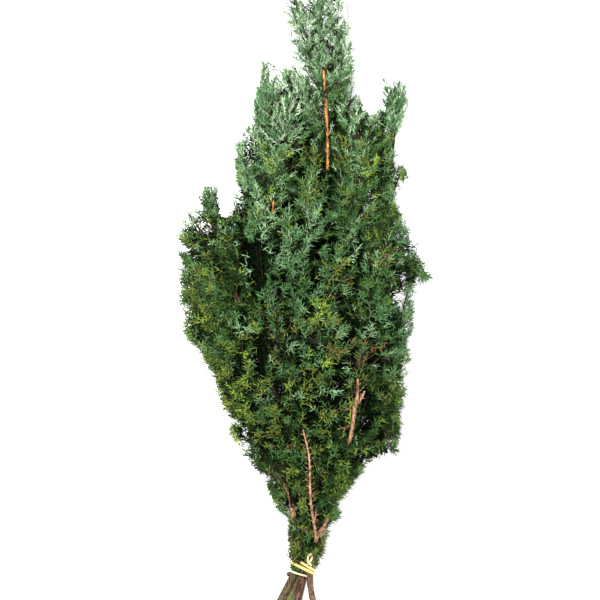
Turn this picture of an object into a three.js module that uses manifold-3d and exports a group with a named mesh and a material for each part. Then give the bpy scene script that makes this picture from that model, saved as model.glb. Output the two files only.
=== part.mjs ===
// A cut bunch of cypress: four stems gathered by an elastic band, the boughs that fork from
// them and the masses of foliage that grow on both. It lies on its side on the plane z = 0.
// Millimetres. +Y runs from the cut ends to the tips, +X to the right seen from above, +Z up.
import * as THREE from "three";
import { mergeVertices } from "three/addons/utils/BufferGeometryUtils.js";
import Module from "manifold-3d";

const wasm = await Module();
wasm.setup();

// Driving dimensions
const GAP = 0.45; // left between neighbouring pieces
const SPRAY_GAP = 1.1; // added to a spray's outline when it looks for room
const REST_HEIGHT = 2; // of the middle of a twig or spray that lies on the ground
const PRESSED_BELOW = 14; // a spray lower than this is pressed flat
const STEM_SIDES = 8;
const BOUGH_SIDES = 6;
const TWIG_SIDES = 3;
const STEM_STEP = 42; // length of one straight stretch of a stem or bough
const TWIG_FOOT = 2.1; // radius of the twig that carries a mass
const TWIG_TIP = 0.8;
const TWIG_STEPS = 3; // straight stretches that it is made of
const BEND_SHARE = 0.35; // of the way to its tip at which it bends
const BEND_LEAD = 0.08; // how far it keeps its limb's run, as a share of the same way
const SIDE_TWIG_FOOT = 1.1;
const SIDE_TWIG_TIP = 0.5;
const SIDE_TWIG_SHARE = 0.4; // of the way out that a side twig reaches into its spray
const STALKED_ROOT = 0.2; // of the same way at which that spray starts
const SPRAY_PITCH = 17; // along a mass, from one spray to the next
const GOLDEN_SHARE = (Math.sqrt(5) - 1) / 2;
const LIFT = 0.55; // of a spray's end above or below its twig, as a share of the mass's half width
const CROWN_MIDDLE = 42; // height of the middle of the crown, up to y = 0
const CROWN_FALL = 0.07; // how much lower that is for each mm further towards the tips
const CROWN_FLATNESS = 0.23; // share of a sideways distance in what counts as outward
const FIRST_ROOT = 0.12; // share of a mass's length at which its first spray may stand
const FIRST_END = 0.32; // shares of a mass's length that its first and last sprays reach
const LAST_END = 0.92;
const TIP_NARROWING = 0.75; // share of its width that a mass loses by its tip
const ATTEMPTS = 60; // sprays that a mass tries to find room for
const LONGEST_SPRAY = 64;
const LONGEST_SHARE = 0.72; // of its mass's length
const MOST_SIDEWAYS = 0.7; // of a spray's length that takes it away from its mass's line
const LEAST_OFFSET = 0.85; // of a mass's half width that a spray stands out, and how much that varies
const OFFSET_RANGE = 0.3;
const STALKED_EVERY = 5; // of how many sprays one stands on a side twig
const LEAST_SPRAY = 14;
const SPRAY_BREADTH = 0.38; // half a spray's width, as a share of its length
const SPRAY_THICKNESS = 0.03; // half a spray's thickness, as a share of its length
const BARK_VIEW = 5; // half the width of the gap in the foliage above a bare stretch
const VIEW_SHARES = [0.25, 0.5, 0.75, 1]; // places along and across a spray that are tried there
const VIEW_SIDES = [-0.7, 0, 0.7];
const SHORTENINGS = [1, 0.8, 0.62]; // lengths that a spray is tried at before it is skipped

// A spray's outline: shares of its length along, and of its half width across.
const SPRAY_RIM = [
  [1, 0],
  [0.77, 0.24],
  [0.82, 0.62],
  [0.53, 0.45],
  [0.4, 1],
  [0, 0],
];

// The four stems, with the radius of the cut end and of the tip, the places that each passes,
// and the stretches of y where its bark shows from above.
const STEMS = [
  {
    name: "left_stem",
    foot: 4.5,
    tip: 1.5,
    way: [
      [-36.5, -333, 4.4],
      [-19.5, -301, 12],
      [-6.5, -272, 21.3],
      [-5.5, -246, 28],
      [-9.2, -220, 36],
      [-13, -199, 42],
      [-40.5, -131, 56],
      [-65.5, 1, 70],
      [-84, 58, 75],
    ],
    bare: [[-222, -180]],
  },
  {
    name: "front_stem",
    foot: 4.2,
    tip: 1.7,
    way: [
      [-21.5, -333, 4.2],
      [-11.5, -301, 8.5],
      [-1.8, -272, 13.2],
      [5.5, -246, 24],
      [10, -225, 36],
      [8, -194, 50],
      [6.5, -151, 66],
      [-2, -91, 86],
      [-0.5, 29, 104],
    ],
    bare: [[-228, -140]],
  },
  {
    name: "leader_stem",
    foot: 3.9,
    tip: 1.3,
    way: [
      [-6.5, -333, 3.9],
      [-1.4, -301, 6.2],
      [7.4, -272, 12.4],
      [8, -246, 15],
      [8.5, -201, 24],
      [18.5, -51, 52],
      [23.5, 49, 60],
      [25.5, 134, 63],
      [23.5, 199, 61],
      [19.5, 251, 56],
    ],
    bare: [[140, 225]],
  },
  {
    name: "right_stem",
    foot: 3.5,
    tip: 1.3,
    way: [
      [20.5, -333, 3.4],
      [10, -300, 14],
      [8.3, -272, 24.3],
      [14.5, -246, 32],
      [25.5, -222, 43],
      [38.5, -179, 62],
      [47.5, -140, 82],
      [55.5, -77, 92],
      [74.5, 49, 82],
      [91.5, 159, 76],
    ],
    bare: [
      [-248, -220],
      [-142, -78],
    ],
  },
];

// The boughs: the limb each forks from, the y where it leaves it, and the places that it passes.
const BOUGHS = [
  {
    name: "shoulder_bough",
    on: "front_stem",
    leaves: -133,
    foot: 2.4,
    tip: 1.3,
    way: [
      [-30, -88, 86],
      [-39, 29, 84],
      [-28, 169, 74],
    ],
    bare: [
      [-104, -84],
      [84, 96],
    ],
  },
  {
    name: "front_bough",
    on: "front_stem",
    leaves: -88,
    foot: 2.2,
    tip: 1.4,
    way: [
      [-18, -45, 104],
      [-38, 12, 116],
    ],
    bare: [],
  },
  {
    name: "crown_bough",
    on: "leader_stem",
    leaves: -85,
    foot: 2.3,
    tip: 1.3,
    way: [
      [36, -15, 70],
      [49, 92, 86],
    ],
    bare: [],
  },
  {
    name: "right_bough",
    on: "right_stem",
    leaves: -165,
    foot: 2.2,
    tip: 1.3,
    way: [
      [67, -125, 64],
      [88, -62, 65],
    ],
    bare: [],
  },
  {
    name: "under_left_bough",
    on: "leader_stem",
    leaves: -185,
    foot: 2.3,
    tip: 1.4,
    way: [
      [-24, -110, 28],
      [-57, -21, 24],
    ],
    bare: [],
  },
  {
    name: "under_right_bough",
    on: "leader_stem",
    leaves: -170,
    foot: 2.3,
    tip: 1.4,
    way: [
      [38, -90, 28],
      [62, -1, 26],
    ],
    bare: [],
  },
];

// The masses of foliage: the limb that carries each, the y where its twig leaves that limb, the
// point that it reaches, and half its width. A mass with no y carries its limb on from the tip.
const MASSES = [
  { name: "leader_plume", on: "leader_stem", tip: [12, 339, 50], spread: 27 },
  { name: "leader_left", on: "leader_stem", leaves: 190, tip: [-10, 290, 62], spread: 20 },
  { name: "leader_flank", on: "leader_stem", leaves: 92, tip: [-10, 226, 68], spread: 24 },
  { name: "leader_column", on: "leader_stem", leaves: 112, tip: [37, 300, 48], spread: 20 },
  { name: "leader_side", on: "leader_stem", leaves: 36, tip: [37, 120, 78], spread: 13 },
  { name: "arch_spray", on: "shoulder_bough", tip: [-40, 236, 62], spread: 16 },
  { name: "shoulder_outer", on: "shoulder_bough", leaves: 90, tip: [-58, 184, 60], spread: 20 },
  { name: "shoulder_side", on: "shoulder_bough", leaves: 40, tip: [-62, 150, 72], spread: 21 },
  { name: "shoulder_inner", on: "shoulder_bough", leaves: 75, tip: [-12, 200, 92], spread: 24 },
  { name: "shoulder_base", on: "shoulder_bough", leaves: -30, tip: [-50, 96, 96], spread: 24 },
  { name: "far_left_tip", on: "left_stem", tip: [-97, 113, 78], spread: 21 },
  { name: "far_left_point", on: "left_stem", leaves: 26, tip: [-125, 66, 72], spread: 26 },
  { name: "far_left_side", on: "left_stem", leaves: -34, tip: [-121, 20, 62], spread: 36 },
  { name: "far_left_droop", on: "left_stem", leaves: -70, tip: [-116, -36, 54], spread: 30 },
  { name: "left_inner", on: "left_stem", leaves: -60, tip: [-76, 80, 100], spread: 28 },
  { name: "left_low", on: "left_stem", leaves: -110, tip: [-90, -86, 54], spread: 30 },
  { name: "left_hanging", on: "left_stem", leaves: -150, tip: [-70, -140, 48], spread: 24 },
  { name: "left_core", on: "left_stem", leaves: -138, tip: [-62, -44, 88], spread: 30 },
  { name: "centre_left", on: "front_bough", tip: [-44, 90, 122], spread: 28 },
  { name: "centre_low_left", on: "front_stem", leaves: -118, tip: [-46, -26, 106], spread: 30 },
  { name: "centre_mid", on: "front_stem", leaves: -50, tip: [-16, 84, 128], spread: 28 },
  { name: "centre_upper", on: "front_stem", tip: [10, 124, 108], spread: 28 },
  { name: "centre_right", on: "front_stem", leaves: -62, tip: [38, 48, 120], spread: 28 },
  { name: "centre_low_right", on: "front_stem", leaves: -108, tip: [30, -18, 118], spread: 28 },
  { name: "low_left", on: "front_stem", leaves: -165, tip: [-36, -104, 86], spread: 26 },
  { name: "low_right", on: "right_stem", leaves: -190, tip: [24, -98, 88], spread: 24 },
  { name: "neck_left", on: "left_stem", leaves: -216, tip: [-18, -146, 76], spread: 22 },
  { name: "neck_right", on: "right_stem", leaves: -238, tip: [30, -166, 34], spread: 22 },
  { name: "neck_back", on: "leader_stem", leaves: -238, tip: [4, -160, 22], spread: 17 },
  { name: "neck_collar", on: "front_stem", leaves: -257, tip: [2, -204, 62], spread: 18 },
  { name: "right_shoot", on: "right_stem", tip: [98, 226, 62], spread: 16 },
  { name: "right_shoot_side", on: "right_stem", leaves: 95, tip: [74, 182, 76], spread: 18 },
  { name: "right_mid", on: "right_stem", leaves: 62, tip: [99, 130, 80], spread: 20 },
  { name: "crown_top", on: "crown_bough", tip: [54, 190, 84], spread: 24 },
  { name: "crown_side", on: "crown_bough", leaves: 40, tip: [69, 182, 98], spread: 24 },
  { name: "right_outer", on: "right_stem", leaves: 12, tip: [101, 92, 80], spread: 25 },
  { name: "right_droop", on: "right_stem", leaves: 4, tip: [125, 19, 70], spread: 22, bend: [108, 62, 72] },
  { name: "right_front", on: "right_stem", leaves: -62, tip: [76, 40, 112], spread: 28 },
  { name: "right_tip", on: "right_bough", tip: [105, 8, 70], spread: 22 },
  { name: "right_low", on: "right_bough", leaves: -118, tip: [97, -68, 58], spread: 26 },
  { name: "right_drop", on: "right_bough", leaves: -130, tip: [90, -154, 50], spread: 28 },
  { name: "right_low_inner", on: "right_stem", leaves: -158, tip: [70, -84, 92], spread: 26 },
  { name: "right_core", on: "right_bough", leaves: -120, tip: [62, -20, 84], spread: 28 },
  { name: "under_left", on: "under_left_bough", tip: [-84, 58, 19], spread: 34 },
  { name: "under_middle", on: "leader_stem", leaves: -20, tip: [-12, 92, 20], spread: 34 },
  { name: "under_right", on: "under_right_bough", tip: [78, 88, 19], spread: 34 },
  { name: "under_low_left", on: "under_left_bough", leaves: -130, tip: [-62, -92, 16], spread: 30 },
  { name: "under_low_right", on: "under_right_bough", leaves: -130, tip: [66, -100, 20], spread: 30 },
];

// The elastic band's two windings: where each lies, how it slants, its width along y, its
// thickness, and the stems that it goes round.
const BANDS = [
  {
    name: "elastic_band",
    y: -269.5,
    slant: -0.42,
    width: 4.6,
    thickness: 1.3,
    round: ["left_stem", "front_stem", "leader_stem", "right_stem"],
  },
  {
    name: "elastic_winding",
    y: -278.5,
    slant: -0.3,
    width: 2.4,
    thickness: 1.1,
    round: ["left_stem", "front_stem", "leader_stem"],
  },
];
const BAND_CLEARANCE = 0.45;
const BAND_STEPS = 26;
const BAND_SIDES = 4;
const BAND_EDGES = [-0.7, 0, 0.7]; // of its width, where it is kept off each stem

const HALVINGS = 40; // steps in the search for the place at a given y
const COLOURS = { stem: 0x7a5d49, bough: 0x9a6a4c, foliage: 0x3f6346, band: 0xe3b94f };

// A repeatable stream of numbers from 0 to 1 for each seed.
function randomFrom(seed) {
  let state = seed >>> 0;
  return () => {
    state = (state + 0x6d2b79f5) >>> 0;
    let word = Math.imul(state ^ (state >>> 15), state | 1);
    word ^= word + Math.imul(word ^ (word >>> 7), word | 61);
    return ((word ^ (word >>> 14)) >>> 0) / 4294967296;
  };
}

const point = (place) => new THREE.Vector3(...place);

function material(colour) {
  return new THREE.MeshStandardMaterial({ color: colour, roughness: 0.75, metalness: 0 });
}

// A closed geometry as an exact solid, and back again.
function solidOf(geometry) {
  const bare = geometry.clone();
  bare.deleteAttribute("normal");
  bare.deleteAttribute("uv");
  const merged = mergeVertices(bare, 1e-4);
  const mesh = new wasm.Mesh({
    numProp: 3,
    vertProperties: new Float32Array(merged.getAttribute("position").array),
    triVerts: new Uint32Array(merged.index.array),
  });
  return new wasm.Manifold(mesh);
}

function geometryOf(solid) {
  const mesh = solid.getMesh();
  const geometry = new THREE.BufferGeometry();
  geometry.setAttribute("position", new THREE.BufferAttribute(mesh.vertProperties, 3));
  geometry.setIndex(new THREE.BufferAttribute(mesh.triVerts, 1));
  geometry.computeVertexNormals();
  return geometry;
}

// A cylinder bent along a curve, with its radius at each share of the way.
function tubeGeometry(curve, radiusAt, sides, steps) {
  const geometry = new THREE.CylinderGeometry(1, 1, 1, sides, steps);
  const frames = curve.computeFrenetFrames(steps, false);
  const position = geometry.getAttribute("position");
  for (let i = 0; i < position.count; i++) {
    const share = position.getY(i) + 0.5;
    const step = Math.round(share * steps);
    const radius = radiusAt(share);
    const place = curve.getPointAt(step / steps);
    place.addScaledVector(frames.binormals[step], position.getX(i) * radius);
    place.addScaledVector(frames.normals[step], position.getZ(i) * radius);
    position.setXYZ(i, place.x, place.y, place.z);
  }
  return geometry;
}

// The share of a limb's length at which it passes a given y.
function shareAtY(curve, y) {
  let low = 0;
  let high = 1;
  for (let i = 0; i < HALVINGS; i++) {
    const middle = (low + high) / 2;
    if (curve.getPointAt(middle).y < y) low = middle;
    else high = middle;
  }
  return low;
}

// A stem or bough with its curve, its radius at any share, and its solid.
function limbOf(plan, curve, sides) {
  const radiusAt = (share) => THREE.MathUtils.lerp(plan.foot, plan.tip, share);
  const steps = Math.max(4, Math.round(curve.getLength() / STEM_STEP));
  const solid = solidOf(tubeGeometry(curve, radiusAt, sides, steps));
  const fat = solidOf(tubeGeometry(curve, (share) => radiusAt(share) + GAP, sides, steps));
  const knots = Array.from({ length: steps + 1 }, (_, k) => ({
    place: curve.getPointAt(k / steps),
    radius: radiusAt(k / steps),
  }));
  return { name: plan.name, curve, knots, solid, fat, bare: plan.bare };
}

function growStem(plan) {
  const curve = new THREE.CatmullRomCurve3(plan.way.map(point), false, "centripetal");
  return limbOf(plan, curve, STEM_SIDES);
}

// A bough starts on its parent's line and is then cut back to the parent's bark.
function growBough(plan, parent) {
  const start = parent.curve.getPointAt(shareAtY(parent.curve, plan.leaves));
  const places = [start, ...plan.way.map(point)];
  const curve = new THREE.CatmullRomCurve3(places, false, "centripetal");
  const bough = limbOf(plan, curve, BOUGH_SIDES);
  bough.solid = bough.solid.subtract(parent.fat);
  return bough;
}

// The line of a mass: it leaves the limb with the limb's own run and bends to its tip.
function massLine(plan, limb) {
  const tip = point(plan.tip);
  const atEnd = plan.leaves === undefined;
  const share = atEnd ? 1 : shareAtY(limb.curve, plan.leaves);
  const start = limb.curve.getPointAt(share);
  const run = limb.curve.getTangentAt(share);
  if (atEnd) start.addScaledVector(run, GAP);
  const distance = start.distanceTo(tip);
  const ownBend = start.clone().lerp(tip, BEND_SHARE).addScaledVector(run, distance * BEND_LEAD);
  const bend = plan.bend ? point(plan.bend) : ownBend;
  return new THREE.QuadraticBezierCurve3(start, bend, tip);
}

// Half the width of a mass at a share of its length: it narrows towards the tip.
function spreadAt(plan, share) {
  return plan.spread * (1 - TIP_NARROWING * Math.pow(share, 3));
}

// The side of a mass that faces out of the crown, square to its run. The crown is wider than it
// is high, so that side faces up or down more than left or right.
function outwardSide(place, run) {
  const middle = CROWN_MIDDLE - CROWN_FALL * Math.max(0, place.y);
  const outward = new THREE.Vector3(place.x * CROWN_FLATNESS, 0, place.z - middle);
  return outward.projectOnPlane(run).normalize();
}

// A spray or twig from a foot towards a point, kept above the ground.
function reachTo(foot, end) {
  const start = foot.clone();
  const finish = end.clone();
  start.z = Math.max(start.z, REST_HEIGHT);
  finish.z = Math.max(finish.z, REST_HEIGHT);
  const direction = finish.clone().sub(start);
  const length = direction.length();
  return { foot: start, end: finish, direction: direction.normalize(), length };
}

// A spray lies flat to its mass's outward side, or to the ground where it is pressed.
function sprayOf(foot, end, outward) {
  const spray = reachTo(foot, end);
  const pressed = Math.min(spray.foot.z, spray.end.z) < PRESSED_BELOW;
  const side = pressed ? new THREE.Vector3(0, 0, 1) : outward;
  spray.across = new THREE.Vector3().crossVectors(spray.direction, side).normalize();
  return spray;
}

// One branch of a mass: a spray of a given length that ends on the mass's outline, on a side
// twig of its own or straight on the main one. A mass is feathered: its sprays point to its left
// and right by an offset across it, and lie over or under its twig by a lift.
function branchOf(line, endShare, offset, lift, spraySize, stalked) {
  const length = line.getLength();
  const sideways = THREE.MathUtils.clamp(offset, -MOST_SIDEWAYS * spraySize, MOST_SIDEWAYS * spraySize);
  const run = Math.sqrt(spraySize * spraySize - sideways * sideways);
  const root = line.getPointAt(Math.max(FIRST_ROOT, endShare - run / length));
  const forward = line.getTangentAt(endShare);
  const end = line.getPointAt(endShare);
  const outward = outwardSide(end, forward);
  const across = new THREE.Vector3().crossVectors(forward, outward);
  end.addScaledVector(across, sideways).addScaledVector(outward, lift);
  if (!stalked) return { twig: null, spray: sprayOf(root, end, outward) };
  const along = (share) => root.clone().lerp(end, share);
  const spray = sprayOf(along(STALKED_ROOT), end, outward);
  return { twig: reachTo(root, along(SIDE_TWIG_SHARE)), spray };
}

// A spray of needles: a flat double cone with its rim drawn out to a toothed outline.
function sprayGeometry(spray, extra) {
  const rim = [...SPRAY_RIM, ...SPRAY_RIM.slice(1, -1).reverse().map(([a, b]) => [a, -b])];
  const geometry = new THREE.SphereGeometry(1, rim.length, 2);
  const position = geometry.getAttribute("position");
  const length = spray.length + extra;
  const normal = new THREE.Vector3().crossVectors(spray.direction, spray.across);
  const perRow = rim.length + 1;
  for (let i = 0; i < position.count; i++) {
    const row = Math.floor(i / perRow) - 1;
    const [along, across] = row === 0 ? rim[(i % perRow) % rim.length] : [0.5, 0];
    const place = spray.foot
      .clone()
      .addScaledVector(spray.direction, along * length)
      .addScaledVector(spray.across, across * (SPRAY_BREADTH * length + extra))
      .addScaledVector(normal, -row * (SPRAY_THICKNESS * length + extra));
    position.setXYZ(i, place.x, place.y, place.z);
  }
  return geometry;
}

function twigGeometry(twig, extra) {
  const line = new THREE.LineCurve3(twig.foot, twig.end);
  const radiusAt = (share) => THREE.MathUtils.lerp(SIDE_TWIG_FOOT, SIDE_TWIG_TIP, share) + extra;
  return tubeGeometry(line, radiusAt, TWIG_SIDES, 1);
}

// True where a spray would hide a stretch of bark that shows from above.
function hidesBark(spray, limbs) {
  const across = spray.across.clone().multiplyScalar(spray.length * SPRAY_BREADTH);
  const places = VIEW_SHARES.flatMap((share) =>
    VIEW_SIDES.map((way) =>
      spray.foot
        .clone()
        .lerp(spray.end, share)
        .addScaledVector(across, way * (1 - share * share)),
    ),
  );
  return places.some((place) =>
    limbs.some((limb) =>
      limb.bare.some(([low, high]) => {
        if (place.y < low || place.y > high) return false;
        const bark = limb.curve.getPointAt(shareAtY(limb.curve, place.y));
        return place.z > bark.z && Math.abs(place.x - bark.x) < BARK_VIEW;
      }),
    ),
  );
}

function touches(solid, others) {
  const box = solid.boundingBox();
  return others.some((other) => {
    const apart = [0, 1, 2].some(
      (k) => box.min[k] > other.box.max[k] || box.max[k] < other.box.min[k],
    );
    return !apart && solid.intersect(other.solid).volume() > 0;
  });
}

const obstacle = (owner, solid) => ({ owner, solid, box: solid.boundingBox() });

// Where a stem passes a band's slanting plane, moved along by a distance.
function crossing(plan, limb, shift) {
  const past = (place) => place.y - plan.slant * place.x - plan.y - shift;
  const after = limb.knots.findIndex((knot) => past(knot.place) > 0);
  const [near, far] = limb.knots.slice(after - 1, after + 1);
  const share = past(near.place) / (past(near.place) - past(far.place));
  const run = far.place.clone().sub(near.place).normalize();
  const radius = THREE.MathUtils.lerp(near.radius, far.radius, share) / run.y;
  return { place: near.place.clone().lerp(far.place, share), radius };
}

// The elastic band: a ring drawn tight round the outline that the stems make together.
function bandSolid(plan, limbs) {
  const centres = limbs
    .filter((limb) => plan.round.includes(limb.name))
    .flatMap((limb) => BAND_EDGES.map((edge) => crossing(plan, limb, edge * plan.width)));
  const geometry = new THREE.TorusGeometry(1, 0.5, BAND_SIDES, BAND_STEPS);
  const position = geometry.getAttribute("position");
  const perRow = BAND_STEPS + 1;
  for (let i = 0; i < position.count; i++) {
    const round = ((i % perRow) / BAND_STEPS) * Math.PI * 2;
    const section = (Math.floor(i / perRow) / BAND_SIDES) * Math.PI * 2 + Math.PI / 4;
    const outward = new THREE.Vector3(Math.cos(round), 0, Math.sin(round));
    const held = centres.reduce((best, next) => {
      const nextOut = next.place.dot(outward) + next.radius;
      return nextOut > best.place.dot(outward) + best.radius ? next : best;
    });
    const off = BAND_CLEARANCE + plan.thickness * (0.5 + Math.SQRT1_2 * Math.cos(section));
    const place = held.place.clone().addScaledVector(outward, held.radius + off);
    const y = plan.y + plan.slant * place.x - plan.width * Math.SQRT1_2 * Math.sin(section);
    position.setXYZ(i, place.x, y, place.z);
  }
  return solidOf(geometry);
}

// Limbs
const stems = STEMS.map(growStem);
const boughs = BOUGHS.map((plan) => growBough(plan, stems.find((stem) => stem.name === plan.on)));
const limbs = [...stems, ...boughs];
const bands = BANDS.map((plan) => ({ name: plan.name, solid: bandSolid(plan, stems) }));

// Masses: all their main twigs come first, so that each keeps clear of the others' twigs.
const masses = MASSES.map((plan, index) => {
  const limb = limbs.find((each) => each.name === plan.on);
  const line = massLine(plan, limb);
  const radiusAt = (share) => THREE.MathUtils.lerp(TWIG_FOOT, TWIG_TIP, share);
  const whole = solidOf(tubeGeometry(line, radiusAt, TWIG_SIDES, TWIG_STEPS));
  const twig = plan.leaves === undefined ? whole : whole.subtract(limb.fat);
  return { plan, line, twig, random: randomFrom(index + 1) };
});

const obstacles = [
  ...limbs.map((limb) => obstacle(limb.name, limb.solid)),
  ...bands.map((band) => obstacle(band.name, band.solid)),
  ...masses.map((mass) => obstacle(mass.plan.name, mass.twig)),
];

// A mass is its main twig with a spray at its end and others to its left and right, above and
// below, some of them on side twigs. A spray that finds no room is shortened, or skipped.
function growMass(mass) {
  const { plan, line, twig, random } = mass;
  const others = obstacles.filter((other) => other.owner !== plan.name);
  const own = [];
  let wood = twig;
  const tryBranch = ({ twig: sideTwig, spray }) => {
    if (spray.length < LEAST_SPRAY || hidesBark(spray, limbs)) return false;
    if (touches(solidOf(sprayGeometry(spray, SPRAY_GAP)), others)) return false;
    const blade = solidOf(sprayGeometry(spray, 0));
    if (touches(blade, own)) return false;
    let carrier = wood;
    if (sideTwig) {
      if (touches(solidOf(twigGeometry(sideTwig, GAP)), others)) return false;
      const stalk = solidOf(twigGeometry(sideTwig, 0));
      if (touches(stalk, own)) return false;
      carrier = wood.add(stalk);
    }
    if (carrier.intersect(blade).volume() <= 0) return false;
    wood = carrier;
    own.push(obstacle(plan.name, blade));
    return true;
  };
  const longest = Math.min(LONGEST_SPRAY, line.getLength() * LONGEST_SHARE);
  const tryLengths = (...branch) =>
    SHORTENINGS.some((scale) => {
      const stalked = own.length % STALKED_EVERY === 1;
      return tryBranch(branchOf(line, ...branch, longest * scale, stalked));
    });
  tryLengths(1, 0, 0);
  const wanted = Math.round(line.getLength() / SPRAY_PITCH);
  const first = random();
  for (let k = 0; k < ATTEMPTS && own.length <= wanted; k++) {
    const endShare = THREE.MathUtils.lerp(FIRST_END, LAST_END, (first + k * GOLDEN_SHARE) % 1);
    const side = k % 2 === 0 ? 1 : -1;
    const level = k % 4 < 2 ? 1 : -1;
    const offset = side * spreadAt(plan, endShare) * (LEAST_OFFSET + OFFSET_RANGE * random());
    const lift = level * LIFT * plan.spread;
    tryLengths(endShare, offset, lift);
  }
  const solid = own.reduce((joined, blade) => joined.add(blade.solid), wood);
  const bodies = solid.decompose().sort((a, b) => b.volume() - a.volume());
  obstacles.push(obstacle(plan.name, bodies[0]));
  return bodies[0];
}

// Assembly
const group = new THREE.Group();
function add(name, solid, colour) {
  const mesh = new THREE.Mesh(geometryOf(solid), material(colour));
  mesh.name = name;
  group.add(mesh);
}
for (const stem of stems) add(stem.name, stem.solid, COLOURS.stem);
for (const bough of boughs) add(bough.name, bough.solid, COLOURS.bough);
for (const band of bands) add(band.name, band.solid, COLOURS.band);
for (const mass of masses) add(mass.plan.name, growMass(mass), COLOURS.foliage);

export default group;
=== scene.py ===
# A cut bunch of cypress branches, tied with elastic, as it lies on a white table: barked stems
# and boughs, the twigs that fork from them, and their sprays of needles.
# +Y runs from the cut ends to the tips, +X to the right seen from above, +Z up. Metres, but the
# tables inside metres() are written in millimetres.
import math

import bmesh
import bpy
import numpy as np
from mathutils import Matrix, Vector, noise


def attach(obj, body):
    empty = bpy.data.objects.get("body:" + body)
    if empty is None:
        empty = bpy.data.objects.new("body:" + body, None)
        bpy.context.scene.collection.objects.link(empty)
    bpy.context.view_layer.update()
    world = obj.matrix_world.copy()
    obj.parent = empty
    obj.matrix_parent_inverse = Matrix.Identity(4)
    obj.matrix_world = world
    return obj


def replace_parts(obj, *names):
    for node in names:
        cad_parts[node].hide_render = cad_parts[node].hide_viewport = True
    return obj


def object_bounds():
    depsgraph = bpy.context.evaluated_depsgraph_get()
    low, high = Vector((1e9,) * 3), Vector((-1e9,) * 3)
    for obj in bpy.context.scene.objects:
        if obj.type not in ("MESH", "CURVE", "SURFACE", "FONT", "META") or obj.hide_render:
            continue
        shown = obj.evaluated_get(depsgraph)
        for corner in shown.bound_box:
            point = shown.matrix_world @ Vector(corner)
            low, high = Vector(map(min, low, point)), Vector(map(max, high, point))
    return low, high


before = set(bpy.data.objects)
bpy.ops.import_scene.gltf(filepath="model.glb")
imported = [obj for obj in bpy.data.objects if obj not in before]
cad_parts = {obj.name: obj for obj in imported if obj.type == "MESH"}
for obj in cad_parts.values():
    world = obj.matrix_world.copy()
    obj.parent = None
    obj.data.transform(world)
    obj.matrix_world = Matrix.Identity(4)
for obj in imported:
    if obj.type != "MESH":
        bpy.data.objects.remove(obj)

cad_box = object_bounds()


def metres(table):
    """A table of millimetres in metres, with its words as they are."""
    if isinstance(table, dict):
        return {key: metres(value) for key, value in table.items()}
    if isinstance(table, (list, tuple)):
        return type(table)(metres(value) for value in table)
    return round(table / 1000, 7) if isinstance(table, (int, float)) else table


# The stems and boughs, with the radius of foot and tip, the stretches of y where their bark shows
# from above, and the places that each passes. A bough leaves another limb at a given y.
STEMS = metres({
    "left_stem": dict(
        foot=4.5, tip=1.5, bare=[(-222, -180)],
        way=[
            (-34, -333, 4.4), (-18, -301, 12), (-6.5, -272, 21.3), (-5.5, -246, 28),
            (-9.2, -220, 36), (-13, -199, 42), (-40.5, -131, 56), (-65.5, 1, 70), (-84, 58, 75),
        ],
    ),
    "front_stem": dict(
        foot=4.2, tip=1.7, bare=[],
        way=[
            (-21.5, -333, 4.2), (-11.5, -301, 8.5), (-1.8, -272, 13.2), (5.5, -246, 24),
            (10, -225, 36), (8, -194, 50), (6.5, -151, 66), (-2, -91, 86), (-0.5, 29, 104),
        ],
    ),
    "leader_stem": dict(
        foot=3.9, tip=1.3, bare=[(131, 232)],
        way=[
            (-8.5, -333, 3.9), (-3, -301, 6.2), (5.8, -272, 12.4), (8, -246, 15), (8.5, -201, 24),
            (18.5, -51, 52), (23.5, 49, 60), (25.5, 134, 63), (23.5, 199, 61), (19.5, 251, 56),
        ],
    ),
    "right_stem": dict(
        foot=3.5, tip=1.3, bare=[(-246, -222), (-142, -104)],
        way=[
            (18.5, -333, 3.4), (8.9, -300, 14), (8.3, -272, 24.3), (14.5, -246, 32),
            (25.5, -222, 43), (38.5, -179, 62), (47.5, -140, 82), (55.5, -77, 92), (74.5, 49, 82),
            (91.5, 159, 76),
        ],
    ),
})
BOUGHS = metres({
    "shoulder_bough": dict(
        on="front_stem", leaves=-133, foot=2.4, tip=1.3, bare=[],
        way=[(-30, -88, 86), (-39, 29, 84), (-28, 169, 74)],
    ),
    "front_bough": dict(
        on="front_stem", leaves=-88, foot=2.2, tip=1.4, bare=[],
        way=[(-18, -45, 104), (-38, 12, 116)],
    ),
    "crown_bough": dict(
        on="leader_stem", leaves=-85, foot=2.3, tip=1.3, bare=[],
        way=[(36, -15, 70), (49, 92, 86)],
    ),
    "right_bough": dict(
        on="right_stem", leaves=-165, foot=2.2, tip=1.3, bare=[],
        way=[(67, -125, 64), (88, -62, 65)],
    ),
    "under_left_bough": dict(
        on="leader_stem", leaves=-185, foot=2.3, tip=1.4, bare=[],
        way=[(-24, -110, 28), (-57, -21, 24)],
    ),
    "under_right_bough": dict(
        on="leader_stem", leaves=-170, foot=2.3, tip=1.4, bare=[],
        way=[(38, -90, 28), (62, -1, 26)],
    ),
})
TAPERS = {"left_stem": 2.8, "front_stem": 2.6, "leader_stem": 1.2, "right_stem": 1.5}
FOOT_SWELL = 0.14  # how much thicker a stem is at its cut end, and over what share of its length
FOOT_SHARE = 0.1
CUT_ENDS = -0.325  # y below which a flat face of a stem is cut wood
LIMB_PITCH = 0.0022  # from ring to ring along a limb
STEM_RELIEF = 0.00035  # height of the ridges of bark
BOUGH_RELIEF = 0.00018
STUB = (0.0018, 0.0035)  # least length of a dead stub on a limb, and how much it varies
STUB_PITCH = (0.0035, 0.004)
STUB_RADIUS = 0.0006
# Knots where branches were cut off: place and radius
KNOTS = {"left_stem": [(-0.0142, -0.2815, 0.0185, 0.0027), (-0.0262, -0.318, 0.0095, 0.0022)]}

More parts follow.
